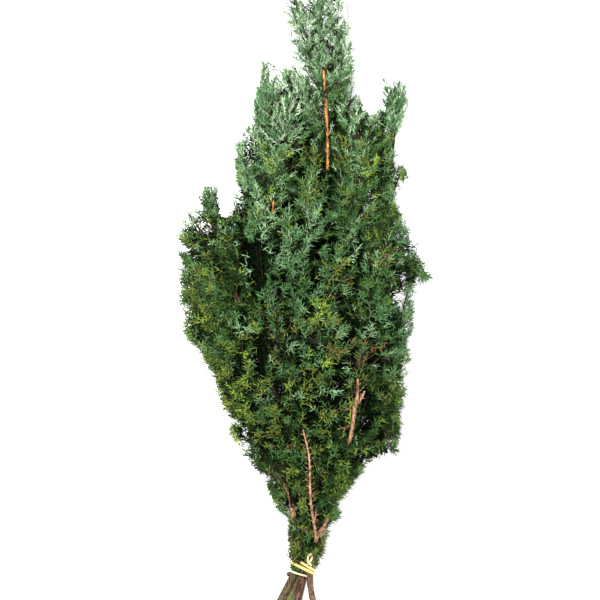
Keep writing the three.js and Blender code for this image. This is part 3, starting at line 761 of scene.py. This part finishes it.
def needles_on(feet, ends, dice, bulk, fewest):
    """The needles round many twiglets and the green shoots that carry them."""
    axes = ends - feet
    sizes = np.linalg.norm(axes, axis=1)
    runs = unit(axes)
    # from 0, long needles, low in the crown, to 1, short ones, near the tips
    fine = np.clip((feet[:, 1] - FINE_FROM) / (FINE_TO - FINE_FROM), 0, 1)

    def habit(key):
        return NEEDLE[key] + (FINE_NEEDLE[key] - NEEDLE[key]) * fine

    counts = np.maximum(fewest, np.round(sizes / (habit("pitch") * bulk))).astype(int)
    which = np.repeat(np.arange(len(feet)), counts)
    total = len(which)
    order = np.arange(total) - np.repeat(np.cumsum(counts) - counts, counts)
    shares = (order + 0.6) / counts[which]
    turns = dice.uniform(0, 2 * math.pi, len(feet))[which] + order * GOLDEN_TURN
    turns = (turns + dice.normal(0, 0.3, total))[:, None]
    run = runs[which]
    leaning_up = np.array([0.0, 0.13, 1.0])
    side = unit(np.cross(run, leaning_up))
    radial = side * np.cos(turns) + np.cross(run, side) * np.sin(turns)
    lean = habit("lean")[which] * (1.1 - 0.5 * shares) + dice.normal(0, 0.16, total)
    directions = run * np.cos(lean)[:, None] + radial * np.sin(lean)[:, None]
    lengths = habit("length")[which] * (1.05 - 0.35 * shares) * dice.uniform(0.75, 1.2, total)
    places = feet[which] + axes[which] * shares[:, None]
    tips = places + directions * lengths[:, None]
    kept = (tips[:, 2] > 0.0006) & (tips[:, 2] < HIGHEST) & clear_of_bark(tips)
    kept &= clear_of_band(tips) & clear_of_band((places + tips) / 2)
    widths = habit("width")[which] * bulk
    leaves = tetra_needles(places[kept], directions[kept], lengths[kept], widths[kept], radial[kept])
    shoot_widths = np.full(len(feet), SHOOT_WIDTH)
    backs = np.tile(leaning_up, (len(feet), 1))
    return joined([leaves, tetra_needles(feet, runs, sizes + 0.001, shoot_widths, backs)])


def pressed_leaves():
    """Short needles that the elastic holds flat on the left stem, between its strands."""
    dice = np.random.default_rng(31)
    line = limbs["left_stem"]["line"]
    shares = line.share_at_y(dice.uniform(*PRESSED_REACH, PRESSED_COUNT))
    runs = line.run(shares)
    aside = unit(np.cross(runs, UP))
    above = np.cross(aside, runs)
    turns = dice.uniform(-1.5, 1.5, PRESSED_COUNT)[:, None]
    radial = above * np.cos(turns) + aside * np.sin(turns)
    feet = line.at(shares) + radial * limb_radius("left_stem", shares.mean())
    along = dice.uniform(-1, 1, (PRESSED_COUNT, 1))
    across = dice.normal(0, 0.6, (PRESSED_COUNT, 1))
    directions = unit(runs * along + aside * across + radial * 0.3)
    lengths = dice.uniform(*PRESSED_LENGTH, PRESSED_COUNT)
    tips = feet + directions * lengths[:, None]
    kept = clear_of_band(tips) & clear_of_band((feet + tips) / 2)
    widths = np.full(kept.sum(), PRESSED_WIDTH)
    return tetra_needles(feet[kept], directions[kept], lengths[kept], widths, radial[kept])


def tube_of(line, foot_radius, tip_radius, sides, steps):
    """A tapered tube along a line, closed at both ends."""
    shares = np.linspace(0, 1, steps + 1)
    places = line.at(shares)
    runs = line.run(shares)
    side = unit(np.cross(runs, np.array([0.31, 0.12, 1.0])))
    other = np.cross(runs, side)
    radii = foot_radius + (tip_radius - foot_radius) * shares
    turn = np.arange(sides) * 2 * math.pi / sides
    ring = np.cos(turn)[None, :, None] * side[:, None] + np.sin(turn)[None, :, None] * other[:, None]
    points = (places[:, None] + ring * radii[:, None, None]).reshape(-1, 3)
    faces = []
    for step in range(steps):
        for k in range(sides):
            a, b = step * sides + k, step * sides + (k + 1) % sides
            faces += [(a, b, b + sides), (a, b + sides, a + sides)]
    foot, tip = len(points), len(points) + 1
    last = steps * sides
    for k in range(sides):
        faces += [(foot, (k + 1) % sides, k), (tip, last + k, last + (k + 1) % sides)]
    return np.vstack([points, places[0], places[-1]]), np.array(faces)


def joined(parts):
    """Several point and face arrays as one."""
    starts = np.cumsum([0] + [len(points) for points, _ in parts[:-1]])
    points = np.vstack([points for points, _ in parts])
    faces = np.vstack([faces + start for start, (_, faces) in zip(starts, parts)])
    return points, faces


# Materials
MOSS_REACH = (-0.307, -0.3)  # y up to which moss is thick, and where it ends


def filled(tree, node, inputs):
    """A node's outputs, once its inputs have these values or these links from other outputs."""
    for socket, value in inputs.items():
        if isinstance(value, bpy.types.NodeSocket):
            tree.links.new(value, node.inputs[socket])
        else:
            node.inputs[socket].default_value = value
    return node.outputs


def new_group(name, inputs, outputs):
    """An empty shader node group with its sockets, its input node and its output node."""
    group = bpy.data.node_groups.new(name, "ShaderNodeTree")
    for socket, kind, value in inputs:
        made = group.interface.new_socket(socket, in_out="INPUT", socket_type="NodeSocket" + kind)
        made.default_value = value
    for socket, kind in outputs:
        group.interface.new_socket(socket, in_out="OUTPUT", socket_type="NodeSocket" + kind)
    return group, group.nodes.new("NodeGroupInput"), group.nodes.new("NodeGroupOutput")


def object_place(tree):
    return tree.nodes.new("ShaderNodeTexCoord").outputs["Object"]


def noise_value(tree, source, scale, detail, roughness=0.55):
    node = tree.nodes.new("ShaderNodeTexNoise")
    inputs = {"Vector": source, "Scale": scale, "Detail": detail, "Roughness": roughness}
    return filled(tree, node, inputs)["Fac"]


def mix_colours(tree, factor, first, second, blend="MIX"):
    """Two colours mixed; a mix node keeps its colours in inputs 6 and 7 and in output 2."""
    node = tree.nodes.new("ShaderNodeMix")
    node.data_type = "RGBA"
    node.blend_type = blend
    return filled(tree, node, {0: factor, 6: first, 7: second})[2]


def spread_value(tree, value, low, high, to_low=0.0, to_high=1.0):
    node = tree.nodes.new("ShaderNodeMapRange")
    return filled(tree, node, {0: value, 1: low, 2: high, 3: to_low, 4: to_high})[0]


def multiplied(tree, first, second):
    node = tree.nodes.new("ShaderNodeMath")
    node.operation = "MULTIPLY"
    return filled(tree, node, {0: first, 1: second})[0]


def make_leaf_group():
    """Living leaf colour: a base that drifts darker and greyer from shoot to shoot."""
    group, given, result = new_group(
        "leaf_tone",
        [
            ("Leaf", "Color", (0.1, 0.2, 0.1, 1)),
            ("Bloom", "Color", (0.4, 0.5, 0.45, 1)),
            ("Bloom Amount", "Float", 0.2),
        ],
        [("Color", "Color"), ("Roughness", "Float")],
    )
    place = object_place(group)
    shoots = spread_value(group, noise_value(group, place, 130, 3.0), 0.3, 0.7)
    needles = spread_value(group, noise_value(group, place, 560, 1.0), 0.36, 0.64)
    flecks = noise_value(group, place, 900, 2.0)
    dark = mix_colours(group, shoots, (0.62, 0.66, 0.6, 1), (1.25, 1.2, 1.15, 1))
    worn = mix_colours(group, needles, (0.5, 0.54, 0.5, 1), (1.55, 1.5, 1.5, 1))
    varied = mix_colours(group, 1.0, dark, worn, "MULTIPLY")
    leaf = mix_colours(group, 1.0, given.outputs["Leaf"], varied, "MULTIPLY")
    amount = multiplied(group, spread_value(group, flecks, 0.42, 0.7), given.outputs["Bloom Amount"])
    bloomed = mix_colours(group, amount, leaf, given.outputs["Bloom"])
    roughness = spread_value(group, flecks, 0.2, 0.8, 0.6, 0.8)
    filled(group, result, {"Color": bloomed, "Roughness": roughness})
    return group


def make_bark_group():
    """Fibrous bark: streaks along the limb, flakes, and the height of both."""
    group, given, result = new_group(
        "fibrous_bark",
        [
            ("Bark", "Color", (0.2, 0.12, 0.08, 1)),
            ("Crack", "Color", (0.05, 0.03, 0.02, 1)),
            ("Flake", "Color", (0.4, 0.3, 0.22, 1)),
            ("Moss", "Color", (0.075, 0.085, 0.018, 1)),
            ("Moss Amount", "Float", 0.0),
        ],
        [("Color", "Color"), ("Height", "Float"), ("Roughness", "Float")],
    )
    place = object_place(group)
    mapping = group.nodes.new("ShaderNodeMapping")
    along = filled(group, mapping, {"Vector": place, "Scale": (1, 0.13, 1)})["Vector"]
    streaks = noise_value(group, along, 560, 4.0, 0.6)
    flakes = noise_value(group, place, 260, 3.0)
    patches = noise_value(group, place, 70, 2.0)
    y = filled(group, group.nodes.new("ShaderNodeSeparateXYZ"), {"Vector": place})["Y"]
    near_foot = spread_value(group, y, *MOSS_REACH, 1.0, 0.0)
    uncracked = spread_value(group, streaks, 0.4, 0.58)
    cracked = mix_colours(group, uncracked, given.outputs["Crack"], given.outputs["Bark"])
    flaking = spread_value(group, flakes, 0.52, 0.68, 0, 0.75)
    flaked = mix_colours(group, flaking, cracked, given.outputs["Flake"])
    cover = multiplied(group, spread_value(group, patches, 0.42, 0.58), near_foot)
    amount = multiplied(group, cover, given.outputs["Moss Amount"])
    mossed = mix_colours(group, amount, flaked, given.outputs["Moss"])
    roughness = spread_value(group, flakes, 0.2, 0.8, 0.95, 0.7)
    filled(group, result, {"Color": mossed, "Height": streaks, "Roughness": roughness})
    return group


def new_material(name):
    material = bpy.data.materials.new(name)
    material.use_nodes = True
    return material, material.node_tree, material.node_tree.nodes["Principled BSDF"]


def group_material(name, group, values, gloss):
    """A material whose colour and roughness come from a node group with these values."""
    material, tree, shader = new_material(name)
    tone = tree.nodes.new("ShaderNodeGroup")
    tone.node_tree = group
    out = filled(tree, tone, values)
    look = {"Base Color": out["Color"], "Roughness": out["Roughness"], "Specular IOR Level": gloss}
    filled(tree, shader, look)
    return material, tree, shader, out


def leaf_material(tint, group):
    colour = TINTS[tint]
    values = {
        "Leaf": (*colour, 1),
        "Bloom": (*(0.7 * c + 0.1 for c in colour), 1),
        "Bloom Amount": 0.25 if tint in ("glaucous", "pale") else 0.0,
    }
    return group_material(f"leaf_{tint}", group, values, 0.02 if tint == "shade" else 0.08)[0]


def bark_material(name, group, bark, crack, flake, moss=0.0, bump=0.0006, gloss=0.15):
    values = {"Bark": (*bark, 1), "Crack": (*crack, 1), "Flake": (*flake, 1), "Moss Amount": moss}
    material, tree, shader, rind = group_material(name, group, values, gloss)
    relief = {"Height": rind["Height"], "Distance": bump, "Strength": 0.6}
    raised = filled(tree, tree.nodes.new("ShaderNodeBump"), relief)
    filled(tree, shader, {"Normal": raised["Normal"]})
    return material


def elastic_material(name, colour, worn):
    material, tree, shader = new_material(name)
    wear = spread_value(tree, noise_value(tree, object_place(tree), 600, 2.0), 0.4, 0.65)
    mixed = mix_colours(tree, wear, (*colour, 1), (*worn, 1))
    filled(tree, shader, {"Base Color": mixed, "Roughness": 0.42})
    return material


# Barks: their colour, that of their cracks and of their flakes, and what else sets them apart
BARKS = {
    "left_bark": ((0.064, 0.046, 0.021), (0.008, 0.006, 0.003), (0.11, 0.085, 0.046), dict(moss=0.2)),
    "mossy_bark": ((0.06, 0.046, 0.02), (0.01, 0.008, 0.004), (0.1, 0.078, 0.04), dict(moss=0.9)),
    "back_bark": ((0.07, 0.031, 0.019), (0.012, 0.006, 0.004), (0.12, 0.064, 0.04), {}),
    "right_bark": ((0.092, 0.056, 0.032), (0.015, 0.009, 0.005), (0.165, 0.11, 0.068), {}),
    "rosy_bark": ((0.27, 0.15, 0.082), (0.08, 0.04, 0.02), (0.46, 0.31, 0.2), {}),
    "orange_bark": ((0.34, 0.155, 0.04), (0.14, 0.055, 0.014), (0.48, 0.27, 0.1), {}),
    "red_bark": ((0.1, 0.036, 0.022), (0.03, 0.012, 0.008), (0.16, 0.08, 0.05), {}),
    # near black: painted shade on the limbs and main twigs that lie in the foliage
    "painted_shade_bark": ((0.01, 0.008, 0.004), (0.004, 0.003, 0.002), (0.02, 0.015, 0.008), dict(gloss=0.04)),
    "cut_wood": ((0.36, 0.27, 0.16), (0.22, 0.15, 0.08), (0.45, 0.36, 0.25), dict(bump=0.0002)),
    "twig_bark": ((0.036, 0.032, 0.014), (0.014, 0.012, 0.005), (0.07, 0.055, 0.025), {}),
}
# The bark of each limb, and of the stretches of it in view
LIMB_BARKS = {
    "left_stem": ("left_bark", "rosy_bark"),
    "front_stem": ("mossy_bark", "rosy_bark"),
    "leader_stem": ("back_bark", "orange_bark"),
    "right_stem": ("right_bark", "rosy_bark"),
}
TWIG_BARKS = dict(left_red_twig="red_bark", far_left_twig="red_bark", orange_twig="orange_bark")


# Pieces
def new_object(name, data):
    thing = bpy.data.objects.new(name, data)
    bpy.context.scene.collection.objects.link(thing)
    return thing


def new_piece(name, mesh, materials, slot):
    """One piece of the bunch from its finished mesh."""
    for material in materials:
        mesh.materials.append(material)
    piece = new_object(name, mesh)
    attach(piece, "root")
    return piece


def mesh_piece(name, points, faces, material, slot):
    """One piece from arrays of points and triangles."""
    mesh = bpy.data.meshes.new(name)
    mesh.from_pydata(points.tolist(), [], faces.tolist())
    return new_piece(name, mesh, [material], slot)


def bmesh_piece(name, shape, materials, slot):
    """One smooth piece from a bmesh, which is freed."""
    mesh = bpy.data.meshes.new(name)
    bmesh.ops.recalc_face_normals(shape, faces=shape.faces)
    for face in shape.faces:
        face.smooth = True
    shape.to_mesh(mesh)
    shape.free()
    return new_piece(name, mesh, materials, slot)


def placed(*columns):
    """The matrix with these three axes and this place."""
    matrix = Matrix.Identity(4)
    for k, column in enumerate(columns):
        for row in range(3):
            matrix[row][k] = column[row]
    return matrix


def swept(stations, sides, closed=False):
    """A bmesh along stations: a ring extruded from each to the next, then capped or bridged."""
    shape = bmesh.new()
    ring = bmesh.ops.create_circle(shape, cap_ends=not closed, segments=sides, radius=1)["verts"]
    bmesh.ops.transform(shape, matrix=stations[0], verts=ring)
    first = edges = list(shape.edges)
    for before, after in zip(stations, stations[1:]):
        grown = bmesh.ops.extrude_edge_only(shape, edges=edges)["geom"]
        ring = {part for part in grown if isinstance(part, bmesh.types.BMVert)}
        bmesh.ops.transform(shape, matrix=after @ before.inverted(), verts=list(ring))
        new_edges = (part for part in grown if isinstance(part, bmesh.types.BMEdge))
        edges = [edge for edge in new_edges if set(edge.verts) <= ring]
    if closed:
        bmesh.ops.bridge_loops(shape, edges=first + edges)
    else:
        bmesh.ops.edgeloop_fill(shape, edges=edges)
    return shape


def round_stations(line, radius_at, pitch):
    """Places for round rings about a pitch apart, square to a line."""
    shares = np.linspace(0, 1, max(2, round(line.length / pitch)) + 1)
    stations = []
    for share, place, run in zip(shares, line.at(shares), line.run(shares)):
        radius = radius_at(share)
        across = unit(UP - run * (UP @ run))
        stations.append(placed(across * radius, np.cross(run, across) * radius, run * radius, place))
    return stations


def bark_relief(shape, depth):
    """Raises flat ridges along a limb and hollows between them."""
    shape.normal_update()
    for vert in shape.verts:
        x, y, z = vert.co
        ridge = noise.noise(Vector((x * 520, y * 60, z * 520)))
        swell = noise.noise(Vector((x * 90, y * 45, z * 90)))
        vert.co += vert.normal * depth * (0.7 * ridge + 0.9 * swell)
        vert.co.z = max(vert.co.z, 0.0002)


def add_stub(shape, place, direction, length, radius):
    """A short dead twig that stands out of a limb."""
    direction = Vector(direction.tolist())
    turn = direction.to_track_quat("Z", "Y").to_matrix().to_4x4()
    where = Matrix.Translation(Vector(place) + direction * length / 2) @ turn
    bmesh.ops.create_cone(
        shape, cap_ends=True, segments=7, radius1=radius, radius2=radius * 0.55, depth=length,
        matrix=where,
    )


def make_limb(name, limb):
    """A stem or bough in its barks, with knots, relief, and dead stubs where it shows."""
    line = limb["line"]
    is_stem = name in STEMS
    stations = round_stations(line, lambda share: limb_radius(name, share), LIMB_PITCH)
    shape = swept(stations, 16 if is_stem else 10)
    for *place, size in KNOTS.get(name, []):
        where = Matrix.Translation(Vector(place))
        bmesh.ops.create_icosphere(shape, subdivisions=2, radius=size, matrix=where)
    bark_relief(shape, STEM_RELIEF if is_stem else BOUGH_RELIEF)
    random = random_from(len(name) + 40)
    for low, high in limb["bare"]:
        y = low
        while y < high:
            share = line.share_at_y(y)
            turn = 3.14 * random()
            side = unit(np.array([math.cos(turn), 0.35, math.sin(turn) * 0.7 + 0.2]))
            place = line.at(share) + side * limb_radius(name, share) * 0.6
            aside = unit(side + line.run(share) * 0.5)
            add_stub(shape, place, aside, STUB[0] + STUB[1] * random(), STUB_RADIUS)
            y += STUB_PITCH[0] + STUB_PITCH[1] * random()
    own_bark, seen_bark = LIMB_BARKS.get(name, ("painted_shade_bark", "red_bark"))
    materials = [barks[each] for each in (own_bark, "cut_wood", "painted_shade_bark", seen_bark)]
    slot = "stem_bark" if is_stem else "bough_bark"
    piece = bmesh_piece(name + "_bark", shape, materials, slot)
    # Above the band, faces out of the stretches in view take the near-black bark: painted shade of the
    # foliage over them
    for face in piece.data.polygons:
        y = face.center.y
        if is_stem and len(face.vertices) > 4 and y < CUT_ENDS:
            face.material_index = 1
            face.use_smooth = False
        elif y > BAND_TOP:
            in_view = any(low - 0.002 < y < high + 0.002 for low, high in limb["bare"])
            face.material_index = 3 if in_view else 2
    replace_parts(piece, name)


def make_bare_twig(name, line):
    """A thin twig in view, with the stubs of its own side shoots like the bones of a fish."""
    foot, tip, _ = BARE_TWIGS[name]
    stations = round_stations(line, lambda share: foot + (tip - foot) * share, TWIG_PITCH)
    shape = swept(stations, 8)
    bark_relief(shape, TWIG_RELIEF)
    random = random_from(len(name) + 70)
    step = TWIG_STUB_PITCH / line.length
    for k, share in enumerate(np.arange(step, 1 - step, step)):
        run = line.run(share)
        side = unit(np.cross(run, UP)) * (1 if k % 2 == 0 else -1)
        aside = unit(side + run * (0.5 + 0.5 * random()) + UP * 0.3)
        place = line.at(share) + side * foot * 0.4
        length = TWIG_STUB[0] + TWIG_STUB[1] * random()
        add_stub(shape, place, aside, length, TWIG_STUB_RADIUS)
    bmesh_piece(name, shape, [barks[TWIG_BARKS.get(name, "rosy_bark")]], "bough_bark")


bark_group = make_bark_group()
barks = {
    name: bark_material(name, bark_group, *colours, **rest)
    for name, (*colours, rest) in BARKS.items()
}
for name, limb in limbs.items():
    make_limb(name, limb)
for name, line in twig_lines.items():
    make_bare_twig(name, line)


# Foliage
def deal_tint(blend, choice):
    """The tint that a number from 0 to 1 falls on in a blend."""
    total = sum(BLENDS[blend].values())
    for tint, share in BLENDS[blend].items():
        choice -= share / total
        if choice <= 0:
            break
    return tint


def blend_of(place):
    """The part of the crown that a place lies in."""
    x, y, z = place
    if y > 0.165:
        return "top"
    if y > 0.075:
        return "left_shoulder" if x < 0.012 else "right_shoulder"
    if -0.045 < x < 0.03 and y > -0.11 and z > 0.075:
        return "front" if y > -0.005 else "front_low"
    if y > -0.06:
        return "left" if x < 0 else "right"
    return "low" if y > -0.175 else "neck"


def squares_of(places):
    """The square of the crown that each place lies in, seen from above."""
    cells = np.floor(places[:, :2] / SURFACE_CELL).astype(int)
    return [tuple(cell) for cell in cells.tolist()]


def crown_levels(places):
    """How low and how high leaves reach in each place's square, seen from above."""
    squares = squares_of(places)
    columns = {}
    for square, height in zip(squares, places[:, 2]):
        columns.setdefault(square, []).append(height)
    ends = (1 - SURFACE_SHARE, SURFACE_SHARE)
    levels = {square: np.quantile(heights, ends) for square, heights in columns.items()}
    return np.array([levels[square] for square in squares]).T


def stays(spray):
    """Whether a spray is kept where the crown is thin."""
    middle = spray["line"].at(0.6)[None]
    for *ellipse, share in LACY:
        if in_ellipse(middle, *ellipse)[0]:
            return dice.uniform() < share
    return True


def grow_masses():
    """The tubes of the main twigs, and all sprays: of masses, of sprigs, and of the limbs."""
    wood = []
    sprays = []
    for index, (name, on, leaves, tip, spread, *bend) in enumerate(MASSES):
        line = mass_line(on, leaves, tip, *bend)
        wood.append(main_twig(line, on, leaves, MASS_TWIG, 6, 12))
        sprays += mass_sprays(index, line, spread, SPRAY_PITCH)
        sprays += limb_sprays(name, line, MASS_TWIG[0], LIMB_SPRAY_PITCH * MASS_THINNING)
    sprigs = [(on, *sprig) for on, group in SPRIGS for sprig in group]
    for index, (on, leaves, tip, *bend) in enumerate(sprigs):
        line = mass_line(on, leaves, tip, *bend)
        wood.append(main_twig(line, on, leaves, SPRIG_TWIG, 5, 8))
        sprays += mass_sprays(index + SPRIG_SEED, line, SPRIG_SPREAD, SPRIG_PITCH)
    for name, limb in limbs.items():
        sprays += limb_sprays(name, limb["line"], limb["foot"], LIMB_SPRAY_PITCH)
    return wood, sprays


def shows_its_twig(line):
    """Whether a spray's own twig may show: inside the outline and out of hollows and bark's way."""
    in_sight = line.at([0.7, 1.0])
    if not (inside_outline(in_sight, -0.001).all() and clear_of_bark(in_sight).all()):
        return False
    along = line.at([0.15, 0.4, 0.7, 1.0])
    return not any(in_ellipse(along, *hollow).any() for hollow in HOLLOWS)


def clad_lines():
    """The leafy shoots along every limb and every mass's main twig."""
    for seed, (name, limb) in enumerate(limbs.items(), LIMB_CLADDING_SEED):
        yield cladding_of(limb["line"], lambda share: limb_radius(name, share), seed, CLADDING_PITCH)
    for seed, (_, on, leaves, tip, _, *bend) in enumerate(MASSES, MASS_CLADDING_SEED):
        line = mass_line(on, leaves, tip, *bend)
        yield cladding_of(line, lambda share: CLAD_RADIUS, seed, CLADDING_PITCH * MASS_THINNING)


dice = np.random.default_rng(20)
wood, sprays = grow_masses()
sprays = [spray for spray in sprays if stays(spray)]
feet = []
ends = []
blends = []
own_tints = []
for spray in sprays:
    blend = blend_of(spray["line"].at(0.7))
    some_feet, some_ends = twiglets_of(spray, dice)
    feet.append(some_feet)
    ends.append(some_ends)
    blends += [blend] * len(some_feet)
    own_tints += [deal_tint(blend, dice.uniform())] * len(some_feet)
twigs = [tube_of(spray["line"], *SIDE_TWIG, 3, 4) for spray in sprays if shows_its_twig(spray["line"])]
spray_twiglets = len(blends)
for some_feet, some_ends in clad_lines():
    feet.append(some_feet)
    ends.append(some_ends)
    some_blends = [blend_of(foot) for foot in some_feet]
    blends += some_blends
    own_tints += [deal_tint(blend, dice.uniform()) for blend in some_blends]
feet = np.vstack(feet)
ends = np.vstack(ends)


def chances():
    """A number from 0 to 1 for each twiglet."""
    return dice.uniform(0, 1, len(ends))


# The tint of each twiglet: by its place, its spray and the patches, then painted shade by its depth in
# the crown
tints = np.array([
    own if dice.uniform() < OWN_TINT else deal_tint(blend, dice.uniform())
    for own, blend in zip(own_tints, blends)
])
for *place, tint, share in PATCHES:
    tints[in_ellipse(ends, *place) & (chances() < share)] = tint
lowest, highest = crown_levels(ends)
below_top = highest - ends[:, 2]
to_edge = outline_distance(ends)
depths = np.minimum(np.minimum(below_top, ends[:, 2] - lowest), to_edge * EDGE_DEPTH)
play = dice.uniform(0.5, 1.3, len(ends)) * np.interp(ends[:, 1], *DEPTH_BY_Y)
tints[depths > DARK_DEPTHS[0] * play] = "deep"
tints[depths > DARK_DEPTHS[1] * play] = "shade"
# Every twiglet in a hollow takes the shade tint: painted shade
tints[~out_of_hollows(ends, below_top, HOLLOWS, math.inf)] = "shade"

# Which twiglets grow: in the outline, clear of bark in view, out of hollows, and not too dense
grown = inside_outline(ends, dice.uniform(0, EDGE_PLAY, len(ends))) & clear_of_bark(ends)
grown &= clear_of_bark((feet + ends) / 2) & (ends[:, 2] > 0.001)
grown &= (feet[:, 1] > NECK_END) & (ends[:, 2] < HIGHEST)
grown &= (tints != "shade") | (chances() < SHADE_KEPT)
lies_along = np.arange(len(ends)) >= spray_twiglets
grown &= out_of_hollows(ends, below_top, HOLLOWS, HOLLOW_DEPTH) | lies_along
grown &= out_of_hollows(ends, below_top, strewn_pockets(dice), POCKET_DEPTH) | lies_along
lit = (depths <= DARK_DEPTHS[0]) & ~lies_along & (to_edge >= RIM)
grown &= ~lit | (chances() < SURFACE_KEPT)

# The main twigs lie in the foliage, in near-black bark: painted shade
main_twigs = mesh_piece("mass_twigs", *joined(wood), barks["painted_shade_bark"], "bough_bark")
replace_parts(main_twigs, *[mass[0] for mass in MASSES])
mesh_piece("side_twigs", *joined(twigs), barks["twig_bark"], "bough_bark")
leaf_group = make_leaf_group()
leaf_materials = {tint: leaf_material(tint, leaf_group) for tint in TINTS}
mesh_piece("pressed_leaves", *pressed_leaves(), leaf_materials["green"], "foliage")
for tint, material in leaf_materials.items():
    its_own = grown & (tints == tint)
    bulk, fewest = (SHADE_BULK, 3) if tint == "shade" else (1.0, 5)
    points, faces = needles_on(feet[its_own], ends[its_own], dice, bulk, fewest)
    parts = math.ceil(len(faces) / PIECE_LIMIT)
    share = math.ceil(len(faces) / 4 / parts) * 4
    for part in range(parts):
        used, new = np.unique(faces[part * share : (part + 1) * share], return_inverse=True)
        name = f"foliage_{tint}_{part + 1}"
        mesh_piece(name, points[used], new.reshape(-1, 3), material, "foliage")


# Elastic band
def band_crossing(y, slant, name):
    """Where a stem passes the band's slanting plane, and its radius there."""
    limb = limbs[name]
    line = limb["line"]
    past = line.points[:, 1] - slant * line.points[:, 0] - y
    share = np.interp(0.0, past, line.along) / line.length
    radius = limb["foot"] + (limb["tip"] - limb["foot"]) * share
    return line.at(share), radius / line.run(share)[1]


def band_route(plane, names, lift, steps=72):
    """A closed line drawn tight round the outline that the stems make together."""
    y, slant = BAND_PLANES[plane]
    held = [band_crossing(y, slant, name) for name in names]
    points = []
    for turn in np.arange(steps) / steps * 2 * math.pi:
        outward = np.array([math.cos(turn), 0, math.sin(turn)])
        place, radius = max(held, key=lambda each: each[0] @ outward + each[1])
        spot = place + outward * (radius + lift)
        spot[1] = y + slant * spot[0]
        points.append(spot)
    return points


def strand(name, route, width, thickness, material, closed=True):
    """An elastic strand: a flat ring along its route, square to it and broad side in."""
    middle = sum(route) / len(route)
    stations = []
    for k, place in enumerate(route):
        after = route[(k + 1) % len(route)] if closed or k + 1 < len(route) else place
        before = route[k - 1] if closed or k > 0 else place
        run = unit(after - before)
        outward = place - middle
        outward = unit(outward - run * (outward @ run))
        broad = width * (1 + 0.06 * math.sin(0.44 * k))
        across = np.cross(outward, run) * broad / 2
        stations.append(placed(across, outward * thickness / 2, run * broad / 2, place))
    return bmesh_piece(name, swept(stations, 10, closed), [material], "elastic")


# Elastics: their colour, and where they are worn
ELASTICS = {
    "yellow_elastic": ((0.4, 0.27, 0.05), (0.52, 0.4, 0.14)),
    "pale_elastic": ((0.5, 0.35, 0.1), (0.58, 0.46, 0.22)),
    "cream_elastic": ((0.55, 0.43, 0.22), (0.62, 0.53, 0.35)),
}
# Closed strands: their plane, how many of the stems they hold, how far off those, their width and
# thickness, their elastic, and the solid that they stand for
STRANDS = {
    "band_front_strand": ("front", 4, 0.0008, 0.003, 0.0014, "yellow_elastic", "elastic_band"),
    "band_crossing_strand": ("crossing", 4, 0.0008, 0.0026, 0.0012, "pale_elastic", "elastic_band"),
    "band_winding": ("winding", 3, 0.0007, 0.0019, 0.0011, "cream_elastic", "elastic_winding"),
}
elastics = {name: elastic_material(name, *colours) for name, colours in ELASTICS.items()}
for name, (plane, held, lift, width, thickness, elastic, solid) in STRANDS.items():
    route = band_route(plane, list(STEMS)[:held], lift)
    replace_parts(strand(name, route, width, thickness, elastics[elastic]), solid)
loop_route = list(smooth_line(LOOP_WAY, 8).points)
strand("band_loop", loop_route, 0.0034, 0.0022, elastics["cream_elastic"], closed=False)


# Table, light and camera
def make_table():
    shape = bmesh.new()
    bmesh.ops.create_grid(shape, x_segments=1, y_segments=1, size=24)
    mesh = bpy.data.meshes.new("table_top")
    shape.to_mesh(mesh)
    shape.free()
    top = new_object("table_top", mesh)
    top.location.z = -0.0003
    material, tree, shader = new_material("table_white")
    # The table's top glows faintly: painted light that lifts the bunch's cast shadow on it towards
    # white
    look = {
        "Base Color": (0.95, 0.95, 0.95, 1), "Roughness": 0.9,
        "Emission Color": (1, 1, 1, 1), "Emission Strength": 0.08,
    }
    filled(tree, shader, look)
    mesh.materials.append(material)


def soft_light(name, place, size, power):
    lamp = bpy.data.lights.new(name, "AREA")
    lamp.shape = "DISK"
    lamp.size = size
    lamp.energy = power
    thing = new_object(name, lamp)
    thing.location = place
    thing.rotation_euler = (-Vector(place)).to_track_quat("-Z", "Y").to_euler()


def make_world():
    world = bpy.data.worlds.new("studio")
    world.use_nodes = True
    background = world.node_tree.nodes["Background"]
    filled(world.node_tree, background, {"Color": (1, 1, 1, 1), "Strength": 0.8})
    bpy.context.scene.world = world
    bpy.context.scene.view_settings.view_transform = "Standard"


def make_camera():
    lens = bpy.data.cameras.new("camera")
    lens.lens = 132
    lens.sensor_width = 36
    lens.clip_end = 100
    eye = new_object("camera", lens)
    eye.location = (-0.0025, -0.001, 2.27)
    bpy.context.scene.camera = eye


make_table()
soft_light("key_light", (-0.5, 0.7, 2.4), 1.1, 206)
soft_light("fill_light", (1.3, -0.4, 1.6), 1.6, 32)
make_world()
make_camera()
